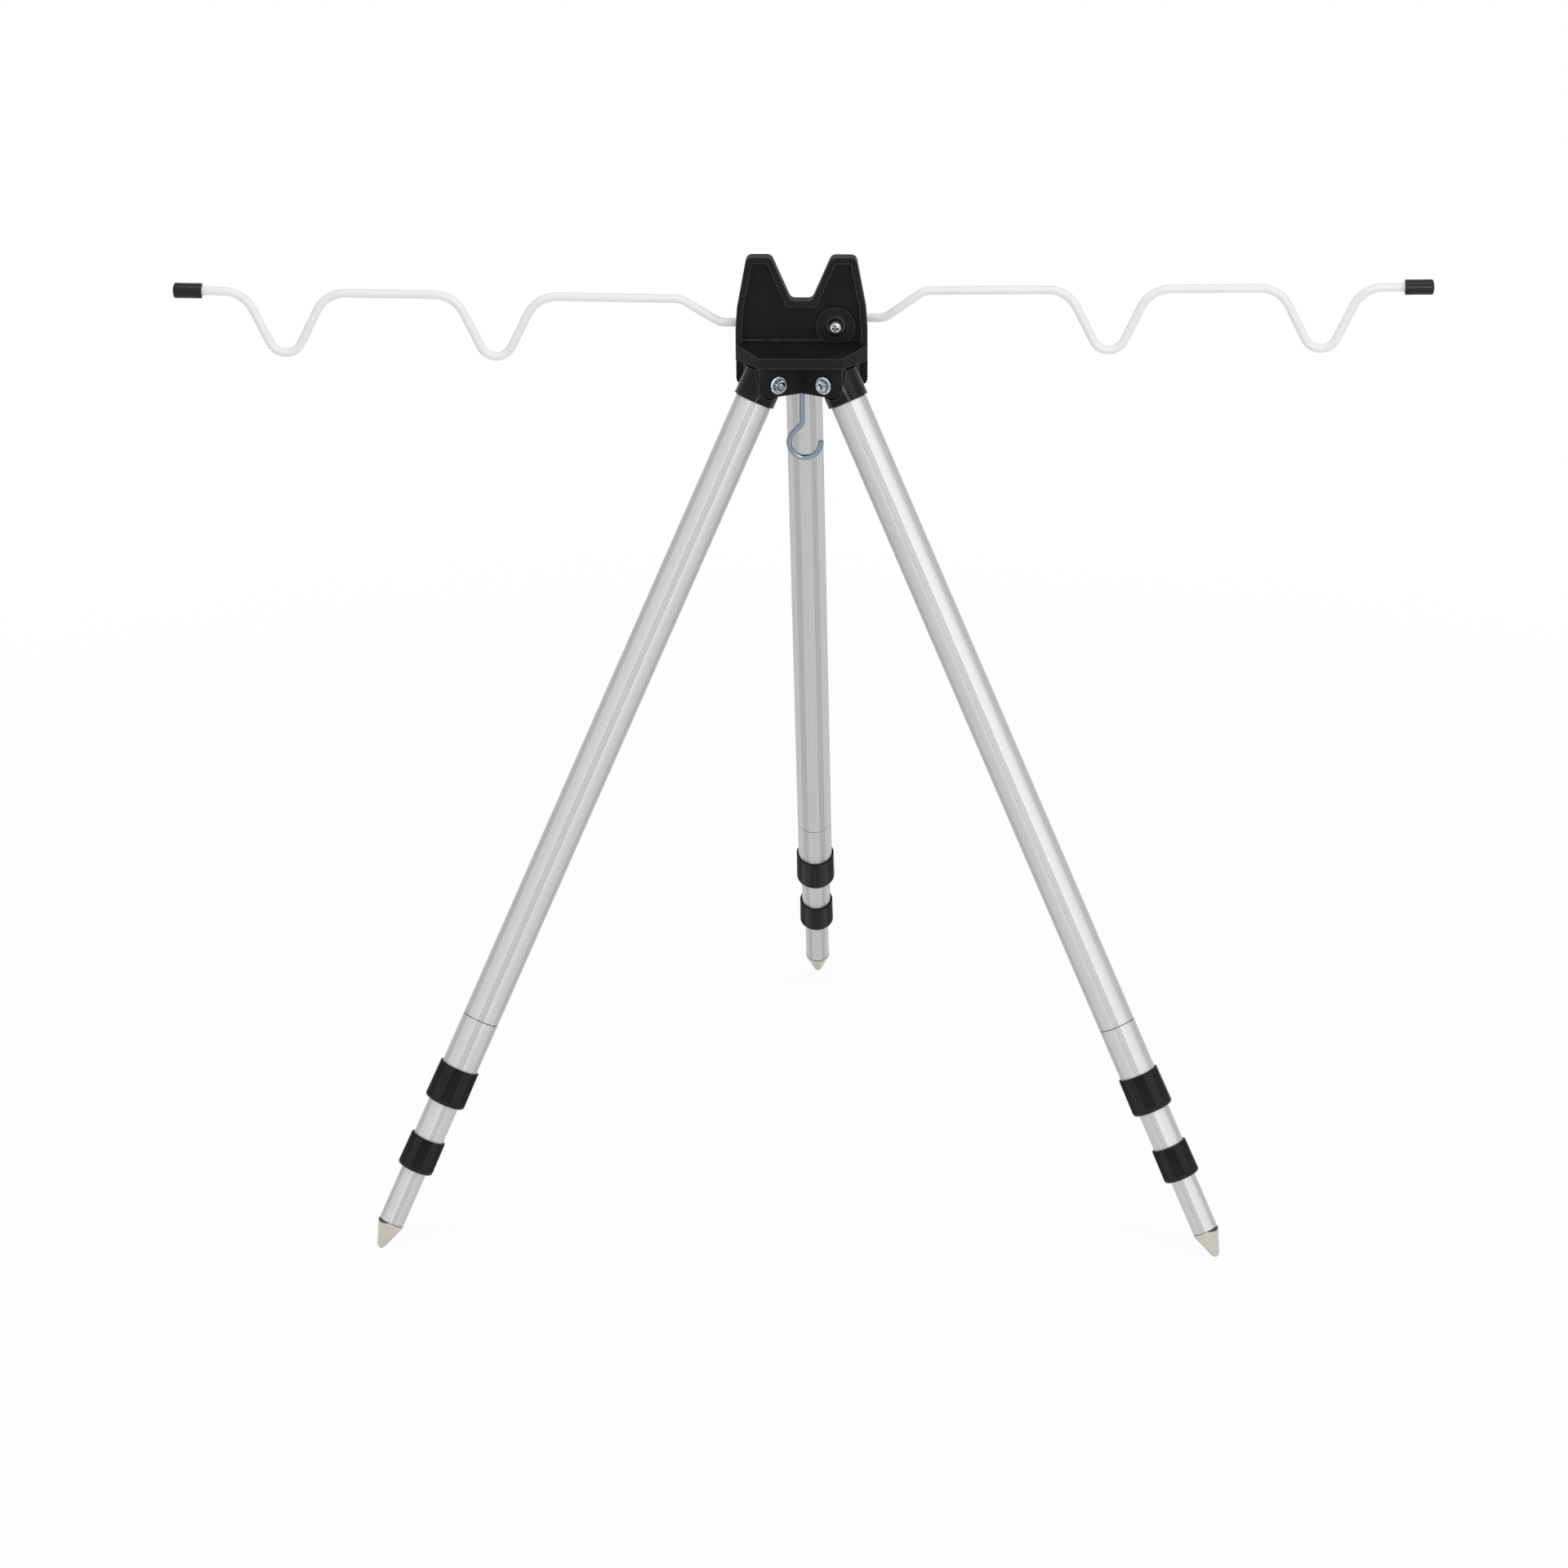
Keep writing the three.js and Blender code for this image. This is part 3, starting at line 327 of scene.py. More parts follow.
def anodised(name, tint, roughness):
    """Satin anodised tube: fine drawn lines along its length, a cloudy sheen and painted shade in
    the grooves.
    """
    finish = Finish(name, Metallic=1.0)
    drawn = finish.spread(finish.noise(1.0, (900.0, 900.0, 7.0), 2.0), 0.3, 0.7)
    cloud = finish.spread(finish.noise(9.0, (1.0, 1.0, 0.4), 2.0), 0.3, 0.7)
    groove = finish.spread(finish.hollow(), 0.45, 0.95)
    base = finish.mixed(drawn, tinted(tint, 0.975), tinted(tint, 1.02))
    finish.put(
        # Painted shade darkens the grooves
        Base_Color=finish.mixed(groove * 0.8, base, tinted(tint, 0.4)),
        Roughness=roughness + cloud * 0.05 + drawn * 0.03,
        Normal=finish.bump(drawn, 0.003 * MM),
    )
    return finish.material


def coated(name, tint):
    """Glossy white coating with a faint ripple and a little soiling."""
    finish = Finish(name, Specular_IOR_Level=0.4)
    haze = finish.spread(finish.noise(22.0), 0.5, 0.8)
    finish.put(
        Base_Color=finish.mixed(haze * 0.5, tint, tinted(tint, 0.95)),
        Roughness=0.28 + haze * 0.08,
        Normal=finish.bump(finish.noise(70.0, detail=0.0), 0.01 * MM),
    )
    return finish.material


def plated(name, tint, roughness, spangle, scale=520.0):
    """Bright plated steel: small cloudy spangles, soft dents and painted shade in its corners."""
    finish = Finish(name, Metallic=1.0)
    cloud = finish.spread(finish.noise(scale, detail=2.0), 0.35, 0.65)
    base = finish.mixed(cloud, tinted(tint, 1.0 - spangle), tinted(tint, 1.0 + spangle * 0.5))
    finish.put(
        # Painted shade darkens the recesses, grooves and corners
        Base_Color=finish.mixed(finish.hollow() * 0.9, base, tinted(tint, 0.06)),
        Roughness=roughness + cloud * spangle * 0.2,
        Normal=finish.bump(cloud, 0.02 * MM * spangle),
    )
    return finish.material


def hood_highlight_line():
    """Where the top of the hood meets the front plate of the head, on its middle plane: the point
    that the painted highlight line runs through.
    """
    head, above, ahead = NODES["head_block"], 0.61, -0.3
    plate = head.ray_cast(Vector((0.0, ahead, above)), Vector((0.0, 1.0, 0.0)))[1].y
    hood = head.ray_cast(Vector((0.0, plate - 0.2 * MM, above)), Vector((0.0, 0.0, -1.0)))[1].z
    return (0.0, plate, hood)


FINISHES = {}


def finishes():
    if not FINISHES:
        look = bpy.context.scene.tripod_finishes
        FINISHES.update(
            head=moulded(
                "moulded_black", look.head, look.mould_sheen,
                shine=0.13, local=False, edge_highlight=True, highlight_line=hood_highlight_line(),
            ),
            fitting=moulded(
                "fitting_black", look.fitting, look.fitting_sheen,
                shine=0.18, local=False, edge_highlight=True,
            ),
            bush=moulded("bush_black", look.bush, 0.18, shine=0.6),
            collar=ribbed("collar_black", look.collar, 0.26),
            cap=moulded("cap_black", look.cap, 0.22),
            nylon=moulded("inner_nylon", look.nylon, 0.50, local=False),
            tube=anodised("anodised_tube", look.tube, look.tube_sheen),
            coat=coated("white_coating", look.coat),
            zinc=plated("zinc_plate", look.zinc, 0.20, spangle=0.45),
            hook=plated("hook_zinc", look.hook, 0.15, spangle=0.08),
            nickel=plated("nickel_plate", look.nickel, 0.22, spangle=0.05, scale=90.0),
        )
    return FINISHES


# Shapes


def skin(rings, closed=True):
    """Vertices and faces over rings of equal counts. Closed skins join the last ring to the first,
    and open ones get a flat face at each end."""
    around = len(rings[0])
    points = [point for ring in rings for point in ring]
    faces = []
    for row in range(len(rings) if closed else len(rings) - 1):
        near, far = row * around, (row + 1) % len(rings) * around
        for i in range(around):
            j = (i + 1) % around
            faces.append((near + i, near + j, far + j, far + i))
    if not closed:
        faces.append(tuple(range(around)))
        faces.append(tuple(reversed(range(len(points) - around, len(points)))))
    return points, faces


def bearings(steps):
    """Equal steps of angle once round."""
    return [2 * math.pi * k / steps for k in range(steps)]


def turned(profile, segments=64):
    """Rings of a profile of (radius, height) turned about Z."""
    return [
        [Vector((r * math.cos(a), r * math.sin(a), z)) for a in bearings(segments)]
        for r, z in profile
    ]


def over(height, table, way=1):
    """A table in millimetres as sizes, with its second column counted up or down from a height."""
    return [(first * MM, height + way * rise * MM, last * MM) for first, rise, last in table]


def eased(corners, steps=5):
    """An open run of (x, y) corners with the third number of each as its rounding."""
    points = []
    for i, corner in enumerate(corners):
        x, y, radius = (*corner, 0.0)[:3]
        here = Vector((x, y))
        if radius == 0.0 or i in (0, len(corners) - 1):
            points.append((x, y))
            continue
        back = (Vector(corners[i - 1][:2]) - here).normalized()
        ahead = (Vector(corners[i + 1][:2]) - here).normalized()
        half = math.acos(max(-1.0, min(1.0, back.dot(ahead)))) / 2
        centre = here + (back + ahead).normalized() * radius / math.sin(half)
        start = here + back * radius / math.tan(half) - centre
        end = here + ahead * radius / math.tan(half) - centre
        turn = math.atan2(start.cross(end), start.dot(end))
        for k in range(steps + 1):
            spoke = Matrix.Rotation(turn * k / steps, 2) @ start
            points.append(tuple(centre + spoke))
    return points


def fluted(groups, grooves, pitch_angle, turn=0.0, steps=6, band=7):
    """Angles round a tube and how deep, from 0 to 1, the grooves are there. The first group's
    middle lies at the turn."""
    marks = []
    half = grooves * pitch_angle / 2
    for group in range(groups):
        middle = 2 * math.pi * group / groups + turn
        for k in range(grooves * steps + 1):
            t = k / (grooves * steps)
            depth = 0.5 - 0.5 * math.cos(2 * math.pi * grooves * t)
            marks.append((middle - half + 2 * half * t, depth))
        rest = 2 * math.pi / groups - 2 * half
        marks += [(middle + half + rest * k / band, 0.0) for k in range(1, band)]
    return marks


def fluted_rings(profile, marks):
    """Rings of a profile of (radius, height, groove depth) with the grooves cut into them."""
    return [
        [
            Vector(((r - depth * cut) * math.cos(a), (r - depth * cut) * math.sin(a), z))
            for a, cut in marks
        ]
        for r, z, depth in profile
    ]


def hex_rings(levels, segments=72):
    """Rings of (limit radius, height, width across flats), where no width means a round ring."""
    step = math.pi / 3
    rings = []
    for r, z, across in levels:
        ring = []
        for a in bearings(segments):
            flat = across / 2 / math.cos((a % step) - step / 2)
            reach = min(r, flat) if across else r
            ring.append(Vector((reach * math.cos(a), reach * math.sin(a), z)))
        rings.append(ring)
    return rings


class Wire:
    """A wire bent in one plane, drawn from one end in straight runs and round bends."""

    def __init__(self, x, z, heading):
        self.at = Vector((x, z))
        self.heading = math.radians(heading)
        self.stations = []
        self.mark()

    def mark(self):
        self.stations.append((self.at.copy(), self.heading))

    def run(self, reach):
        self.at += Vector((math.cos(self.heading), math.sin(self.heading))) * reach
        self.mark()
        return self

    def bend(self, radius, turn, step=5.0):
        steps = max(1, math.ceil(abs(turn) / step))
        turn = math.radians(turn)
        side = math.copysign(1.0, turn)
        across = Vector((-math.sin(self.heading), math.cos(self.heading)))
        centre = self.at + across * radius * side
        for _ in range(steps):
            self.at = centre + Matrix.Rotation(turn / steps, 2) @ (self.at - centre)
            self.heading += turn / steps
            self.mark()
        return self

    def ring(self, station, radius, side, sides):
        """A ring round the wire, drawn in the XZ plane and mirrored for a side of -1."""
        at, heading = self.stations[station]
        across = Vector((-math.sin(heading) * side, 0.0, math.cos(heading)))
        centre = Vector((at.x * side, 0.0, at.y))
        return [
            centre + (across * math.cos(a) + Vector((0.0, 1.0, 0.0)) * math.sin(a)) * radius
            for a in bearings(sides)
        ]

    def rings(self, radius, side=1, sides=28):
        return [self.ring(i, radius, side, sides) for i in range(len(self.stations))]


def sewn(shape):
    """A mesh of a shape, with its doubled corners joined and its faces turned outwards."""
    mesh = bpy.data.meshes.new("shape")
    mesh.from_pydata(shape[0], [], shape[1])
    work = bmesh.new()
    work.from_mesh(mesh)
    bmesh.ops.remove_doubles(work, verts=work.verts, dist=1e-7)
    bmesh.ops.recalc_face_normals(work, faces=work.faces)
    work.to_mesh(mesh)
    work.free()
    return mesh


def carved(mesh, tool):
    """A mesh with the shape of a tool cut out of it."""
    blank = bpy.data.objects.new("blank", mesh)
    cutter = bpy.data.objects.new("cutter", sewn(tool))
    for helper in (blank, cutter):
        bpy.context.scene.collection.objects.link(helper)
    cut = blank.modifiers.new("cut", "BOOLEAN")
    cut.operation = "DIFFERENCE"
    cut.solver = "EXACT"
    cut.object = cutter
    bpy.context.view_layer.update()
    graph = bpy.context.evaluated_depsgraph_get()
    result = bpy.data.meshes.new_from_object(blank.evaluated_get(graph))
    for helper in (blank, cutter):
        bpy.data.objects.remove(helper)
    return result


def piece(name, shape, finish, body, place, node, hollow=None, tool=None, crease=28.0):
    """One visible piece in its place, with its finish, the body it rides on and the solid it stands
    for. Its points keep their own coordinates and, where given, their painted shade, for the
    finish."""
    mesh = sewn(shape)
    if tool:
        mesh = carved(mesh, tool)
    mesh.name = name
    own = [vertex.co.copy() for vertex in mesh.vertices]
    local = mesh.attributes.new("local", "FLOAT_VECTOR", "POINT")
    local.data.foreach_set("vector", [part for point in own for part in point])
    if hollow:
        shade_mask = mesh.attributes.new("hollow", "FLOAT", "POINT")
        shade_mask.data.foreach_set("value", [max(0.0, min(1.0, hollow(point))) for point in own])
    mesh.transform(place)
    mesh.shade_smooth()
    mesh.set_sharp_from_angle(angle=math.radians(crease))
    mesh.materials.clear()
    mesh.materials.append(finishes()[finish])
    made = bpy.data.objects.new(name, mesh)
    bpy.context.scene.collection.objects.link(made)
    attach(made, body)
    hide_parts(node)
    return made


def cross_tool(width, top, depth):
    """A cross that narrows downwards, for the recess in a screw head."""
    points, faces = [], []
    arm = width * 0.16
    for scale, z in ((1.0, top), (0.45, top - depth)):
        w, a = width / 2 * scale, arm * (0.6 + 0.4 * scale)
        outline = [
            (w, -a), (w, a), (a, a), (a, w), (-a, w), (-a, a),
            (-w, a), (-w, -a), (-a, -a), (-a, -w), (a, -w), (a, -a),
        ]
        points.append([Vector((x, y, z)) for x, y in outline])
    return skin(points, closed=False)


def joint_place(name):
    return Vector(JOINTS[name]["pos_m"])


def joint_axis(name):
    return Vector(JOINTS[name]["axis"]).normalized()


def upright(axis, origin):
    """A place whose Z runs along an axis."""
    turn = Vector((0.0, 0.0, 1.0)).rotation_difference(Vector(axis))
    return Matrix.Translation(origin) @ turn.to_matrix().to_4x4()


def leg_place(side):
    """A leg's place on its tubes' axis: X outwards, Y along its hinge and Z up its tubes."""
    hinge = joint_axis(f"leg_{side}_fold")
    up = -joint_axis(f"mid_{side}_slide")
    turn = Matrix((hinge.cross(up), hinge, up)).transposed().to_4x4()
    return Matrix.Translation(joint_place(f"upper_lock_{side}_twist")) @ turn


def extent(node, place):
    """Lowest and highest Z of a solid in a place, and its largest radius about Z there."""
    inverse = place.inverted()
    points = [inverse @ vertex.co for vertex in NODES[node].data.vertices]
    heights = [point.z for point in points]
    return min(heights), max(heights), max(point.xy.length for point in points)


def soften_group():
    """Drops stored normals, joins split corners and shades smooth up to the crease angle."""
    name = "soft_edges"
    if name in bpy.data.node_groups:
        return bpy.data.node_groups[name]
    group = bpy.data.node_groups.new(name, "GeometryNodeTree")
    for way in ("INPUT", "OUTPUT"):
        group.interface.new_socket("Geometry", in_out=way, socket_type="NodeSocketGeometry")
    nodes = Nodes(group)
    mesh = nodes.node("NodeGroupInput")
    for kind, settings, inputs in (
        ("GeometryNodeRemoveAttribute", None, {"Name": "custom_normal"}),
        ("GeometryNodeMergeByDistance", None, {"Distance": 1e-6}),
        ("GeometryNodeSetShadeSmooth", {"domain": "FACE"}, {}),
    ):
        mesh = nodes.node(kind, settings, {"Geometry": mesh, **inputs})
    bend = nodes.node("GeometryNodeInputMeshEdgeAngle", output="Unsigned Angle")
    sharp = nodes.node("FunctionNodeCompare", {"operation": "GREATER_THAN"}, {0: bend, 1: CREASE})
    mesh = nodes.node(
        "GeometryNodeSetShadeSmooth",
        {"domain": "EDGE"},
        {"Geometry": mesh, "Selection": sharp, "Shade Smooth": False},
    )
    nodes.add("NodeGroupOutput", None, {0: mesh})
    return group


def dress(node, finish, edge=0.0):
    """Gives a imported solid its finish, soft shading and, where asked, rounded edges."""
    solid = NODES[node]
    for slot in solid.material_slots:
        slot.material = finishes()[finish]
    smooth = solid.modifiers.new("soft_edges", "NODES")
    smooth.node_group = soften_group()
    if edge:
        bevel = solid.modifiers.new("rounded_edges", "BEVEL")
        bevel.width = edge
        bevel.segments = 3
        bevel.limit_method = "ANGLE"
        bevel.angle_limit = CREASE
        bevel.harden_normals = True
        bevel.use_clamp_overlap = True


# Operators, one for each group of like pieces


class TRIPOD_OT_mouldings(bpy.types.Operator):
    """Finish the moulded head and the three leg fittings"""

    bl_idname = "tripod.mouldings"
    bl_label = "Moulded head and fittings"

    def execute(self, context):
        edge = context.scene.tripod_sizes.mould_edge
        dress("head_block", "head", edge)
        for side in LEGS:
            dress(f"leg_fitting_{side}", "fitting", edge)
        return {"FINISHED"}


class TRIPOD_OT_inner_pieces(bpy.types.Operator):
    """Finish the bushes and collets inside the tubes"""

    bl_idname = "tripod.inner_pieces"
    bl_label = "Bushes and collets"

    def execute(self, context):
        for side in LEGS:
            for name in ("upper_collet", "lower_collet", "mid_bush", "inner_bush"):
                dress(f"{name}_{side}", "nylon")
        return {"FINISHED"}


# How far the groove groups of the wide tubes are turned on their leg
TURNS = {"left": 0.0, "right": 0.0, "rear": math.radians(30.0)}
TUBE_WALL = 1.0 * MM


class TRIPOD_OT_tubes(bpy.types.Operator):
    """Build the grooved tubes and lock sleeves of the legs"""

    bl_idname = "tripod.tubes"
    bl_label = "Leg tubes"

    def execute(self, context):
        sizes = context.scene.tripod_sizes
        edge, cut = sizes.tube_edge, sizes.groove_depth
        # How far a broken edge lies in from the tube's radius and its end, and its grooves' depth
        end = (
            (TUBE_WALL, 0.0, 0.0),
            (edge, 0.0, 0.0),
            (edge * 0.3, edge * 0.3, cut * 0.7),
            (0.0, edge, cut),
            (0.0, edge * 1.5, cut),
        )
        for side in LEGS:
            place = leg_place(side)
            for name, body, groups, grooves, turn in (
                ("outer_tube", "leg", sizes.outer_groups, 4, TURNS[side]),
                ("lock_sleeve", "leg", sizes.outer_groups, 4, TURNS[side]),
                ("mid_tube", "mid", sizes.inner_groups, 3, 0.0),
                ("inner_tube", "foot", sizes.inner_groups, 3, 0.0),
            ):
                low, high, radius = extent(f"{name}_{side}", place)
                marks = fluted(groups, grooves, sizes.groove_pitch / radius, turn)
                profile = [(radius - inset, low + rise, depth) for inset, rise, depth in end]
                profile += [(radius - inset, high - up, depth) for inset, up, depth in end[::-1]]
                # Painted shade: grooves, broken ends and the bore darken by how far they lie inside
                # the radius
                piece(
                    f"fine_{name}_{side}", skin(fluted_rings(profile, marks)), "tube",
                    f"{body}_{side}", place, f"{name}_{side}",
                    lambda point: (radius - point.xy.length) / cut,
                )
        return {"FINISHED"}


# Clearance on the tubes, inner bevel, taper of the outside and height of the inner step
COLLAR_PLAY, COLLAR_BEVEL, COLLAR_TAPER, COLLAR_STEP = 0.3 * MM, 0.3 * MM, 0.25 * MM, 4.0 * MM
COLLAR_GROUPS, COLLAR_GROOVES = 6, 4


class TRIPOD_OT_collars(bpy.types.Operator):
    """Build the grooved twist-lock collars"""

    bl_idname = "tripod.collars"
    bl_label = "Twist-lock collars"

    def execute(self, context):
        for side in LEGS:
            self.collar(context.scene.tripod_sizes, side, "upper", "lock_sleeve", "mid_tube")
            self.collar(context.scene.tripod_sizes, side, "lower", "mid_tube", "inner_tube")
        return {"FINISHED"}

    def collar(self, sizes, side, name, gripped, sliding):
        place = leg_place(side)
        low, high, radius = extent(f"{name}_collar_{side}", place)
        wide = extent(f"{gripped}_{side}", place)[2] + COLLAR_PLAY
        narrow = extent(f"{sliding}_{side}", place)[2] + COLLAR_PLAY
        cut, lip, edge = sizes.collar_depth, sizes.collar_lip, sizes.edge
        top, brow, step = radius - COLLAR_TAPER, low + lip, low + COLLAR_STEP
        # Radius, height and share of the grooves' depth, down the outside, then up the bore
        body = [
            (top - edge, high, 0.15),
            (top - edge * 0.3, high - edge * 0.25, 0.7),
            (top, high - edge, 1.0),
            (top, high - edge * 1.5, 1.0),
            (radius, brow + 1.2 * MM, 1.0),
            (radius, brow + 1.0 * MM, 1.0),
            (radius, brow + 0.55 * MM, 0.7),
            (radius - 0.03 * MM, brow + 0.25 * MM, 0.0),
        ]
        for k in range(7):
            a = math.pi / 2 * k / 6
            body.append((radius - lip + lip * math.cos(a), brow - lip * math.sin(a), 0.0))
        body += [
            (narrow + COLLAR_BEVEL, low, 0.0),
            (narrow, low + COLLAR_BEVEL, 0.0),
            (narrow, step, 0.0),
            (wide, step, 0.0),
            (wide, high - COLLAR_BEVEL, 0.0),
            (wide + COLLAR_BEVEL, high, 0.0),
        ]
        profile = [(r, z, cut * amount) for r, z, amount in body]
        marks = fluted(COLLAR_GROUPS, COLLAR_GROOVES, sizes.collar_pitch / radius)

        # Painted shade: darker in the grip grooves and the bore, above the smooth lip
        def shade_mask(point):
            return (radius - 0.15 * MM - point.xy.length) / cut if point.z > brow else 0.0

        piece(
            f"fine_{name}_collar_{side}", skin(fluted_rings(profile, marks)), "collar",
            f"{name}_lock_{side}", place, f"{name}_collar_{side}", shade_mask,
            crease=24.0,
        )


# The spike's tip: radius and height where its cone begins
TIP_RADIUS, TIP_HEIGHT = 2.9 * MM, 2.4 * MM
# The spike's rim: gap to the tube and thickness
RIM_GAP, RIM = 0.3 * MM, 1.2 * MM
# How far the plug's radius lies inside the tube's, and the rim's inside the solid's
PLUG_INSET, RIM_INSET = 1.3 * MM, 0.03 * MM


class TRIPOD_OT_spikes(bpy.types.Operator):
    """Build the turned foot spikes"""

    bl_idname = "tripod.spikes"
    bl_label = "Foot spikes"

    def execute(self, context):
        for side in LEGS:
            place = leg_place(side)
            tip, top, base = extent(f"foot_spike_{side}", place)
            tube_end, _, tube = extent(f"inner_tube_{side}", place)
            base -= RIM_INSET
            plug = tube - PLUG_INSET
            rim = tube_end - RIM_GAP
            cone = rim - RIM
            slope = (base - TIP_RADIUS) / (cone - tip - TIP_HEIGHT)
            # Close rings on both sides of the rim's lower edge keep the painted dark line there
            # sharp
            band = [(base - slope * 0.3 * MM * k, cone - 0.3 * MM * k) for k in range(4, 0, -1)]
            band += [(base, rim - 0.15 * MM * k) for k in range(8, 1, -1)]
            outline = [
                (0.0, tip),
                (1.6 * MM, tip + 0.6 * MM, 1.2 * MM),
                (TIP_RADIUS, tip + TIP_HEIGHT, 1.5 * MM),
                *band,
                (base, rim, 0.15 * MM),
                (plug, rim),
                (plug, top, 0.5 * MM),
                (0.0, top),
            ]

            def rim_shade(point):
                """Painted shade: the rim is darker on its outer side, where it stands a little off
                the tube.
                """
                outer = max(0.0, point.x / max(point.xy.length, 1e-9))
                return 1.5 * (3.2 * MM * outer**2 - RIM - (rim - point.z)) / MM + 0.5

            piece(
                f"fine_spike_{side}", skin(turned(eased(outline), 96), closed=False), "nickel",
                f"foot_{side}", place, f"foot_spike_{side}", rim_shade,
            )
        return {"FINISHED"}


# How far the wire climbs in the joggle next to the eye
RISES = {"left": 16.3 * MM, "right": 19.2 * MM}
# Radius of the eye, and how far round it the wire's end and the neck lie
EYE, EYE_END, NECK = 6.2 * MM, 45.0, 40.0
# The joggle: its run, the radius of its bends, and the slope of the arm after it
JOGGLE, JOGGLE_BEND, ARM_SLOPE = 26.6 * MM, 14.0 * MM, 0.7
# A dip: its depth, the angle of its sides, and the radii at its bottom and its shoulders
DIP_DEPTH, DIP_SIDE, DIP_LOW, DIP_SHOULDER = 42.4 * MM, 64.0, 11.5 * MM, 22.0 * MM
# From the head's middle to the pivot, the joggle, the two dips and the wire's end
PIVOT, JOGGLE_START, DIPS, ARM_END = 22.9 * MM, 51.2 * MM, (206.8 * MM, 349.7 * MM), 421.5 * MM


def arm_wire(rise):
    """The right arm's wire from its eye outwards, measured from its pivot."""
    start = math.radians(EYE_END)
    wire = Wire(EYE * math.cos(start), EYE * math.sin(start), EYE_END + 90.0)
    wire.bend(EYE, 360.0 - EYE_END - NECK)
    turn = NECK - 90.0
    drop = -wire.at.y
    wire.heading = math.radians(-turn)
    wire.bend(drop / (1 - math.cos(math.radians(turn))), turn)
    wire.run(JOGGLE_START - PIVOT - wire.at.x)
    joggle = math.atan2(rise, JOGGLE)
    ease = JOGGLE_BEND * math.tan(joggle / 2)
    wire.bend(JOGGLE_BEND, math.degrees(joggle))
    wire.run(math.hypot(rise, JOGGLE) - 2 * ease)
    wire.bend(JOGGLE_BEND, ARM_SLOPE - math.degrees(joggle))
    lean = math.radians(DIP_SIDE)
    sine, sag = math.sin(lean), 1 - math.cos(lean)
    side = (DIP_DEPTH - (DIP_LOW + DIP_SHOULDER) * sag) / sine
    half = (DIP_LOW + DIP_SHOULDER) * sine + side * math.cos(lean)
    level = math.cos(math.radians(ARM_SLOPE))
    for dip in DIPS:
        wire.run((dip - half - PIVOT - wire.at.x) / level)
        wire.bend(DIP_SHOULDER, -DIP_SIDE).run(side)
        wire.bend(DIP_LOW, 2 * DIP_SIDE).run(side)
        wire.bend(DIP_SHOULDER, -DIP_SIDE)
    wire.run((ARM_END - PIVOT - wire.at.x) / level)
    return wire


class TRIPOD_OT_arms(bpy.types.Operator):
    """Build the bent wire rod arms"""

    bl_idname = "tripod.arms"
    bl_label = "Rod arms"

    def execute(self, context):
        radius = context.scene.tripod_sizes.wire / 2
        for name, side in ARMS.items():
            place = Matrix.Translation(joint_place(f"arm_{name}_fold"))
            shape = skin(arm_wire(RISES[name]).rings(radius, side), closed=False)
            piece(
                f"fine_arm_{name}", shape, "coat", f"arm_{name}", place,
                f"rod_arm_{name}",
            )
        return {"FINISHED"}


# How far the cap reaches back over the wire, and its outline, in millimetres: radius, height over
# its mouth and rounding, from the inside out
CAP_GRIP = 16.0
CAP = (
    (0.0, 16.3, 0.0), (3.2, 16.3, 0.0), (3.2, 0.4, 0.2), (3.5, 0.0, 0.2), (5.25, 0.0, 0.5),
    (5.25, 1.6, 0.0), (5.18, 9.0, 0.0), (5.25, 16.0, 0.0), (5.25, 18.9, 1.6), (2.6, 19.6, 2.0),
    (0.0, 19.6, 0.0),
)


class TRIPOD_OT_caps(bpy.types.Operator):
    """Build the caps on the ends of the rod arms"""

    bl_idname = "tripod.caps"
    bl_label = "Arm caps"

    def execute(self, context):
        for name, side in ARMS.items():
            at, heading = arm_wire(RISES[name]).stations[-1]
            axis = Vector((math.cos(heading) * side, 0.0, math.sin(heading)))
            tip = joint_place(f"arm_{name}_fold") + Vector((at.x * side, 0.0, at.y))
            place = upright(axis, tip - axis * CAP_GRIP * MM)
            shape = skin(turned(eased(over(0.0, CAP)), 48), closed=False)
            piece(
                f"fine_cap_{name}", shape, "cap", f"arm_{name}", place,
                f"arm_cap_{name}",
            )
        return {"FINISHED"}


def threaded(radius, low, high, pitch):
    """Round rings of a thread between two heights, from the low end up."""
    points = []
    turns = max(1, int((high - low) / pitch))
    root = radius - 0.3 * MM
    for k in range(turns):
        z = low + pitch * k
        points += [(root, z, 0.0), *((radius, z + pitch * part, 0.0) for part in (0.35, 0.65))]
    return [*points, (root, low + pitch * turns, 0.0)]


# Outlines of the fasteners in millimetres: radius, height over a level and width across flats, or
# rounding for those without a hexagon
BORE, SHANK, HEX = 2.85, 2.5, 8.0
FLANGE = (
    (6.0, 0.0, 0.0), (6.2, 0.2, 0.0), (6.2, 0.5, 0.0), (5.9, 0.75, 0.0), (5.2, 0.95, 0.0),
    (4.9, 1.0, HEX), (4.9, 1.3, HEX),
)
BOLT_TOP = (
    (4.9, -0.6, HEX), (4.15, -0.15, HEX), (3.7, 0.0, HEX), (3.4, 0.0, 0.0), (3.2, -0.2, 0.0),
    (0.0, -0.3, 0.0),
)
NUT_END = (
    (4.9, 0.7, HEX), (4.1, 0.15, HEX), (3.7, 0.0, HEX), (3.3, 0.0, 0.0), (3.0, 0.2, 0.0),
    (BORE, 0.6, 0.0),
)
SCREW_END = ((0.0, 0.0, 0.0), (2.0, 0.0, 0.0), (SHANK, 0.5, 0.0))
SCREW_SEAT = ((SHANK, 0.0, 0.0), (4.4, 0.0, 0.15), (4.4, 1.3, 0.9))
SCREW_TOP = ((3.2, 0.0, 1.6), (0.0, 0.0, 0.0))
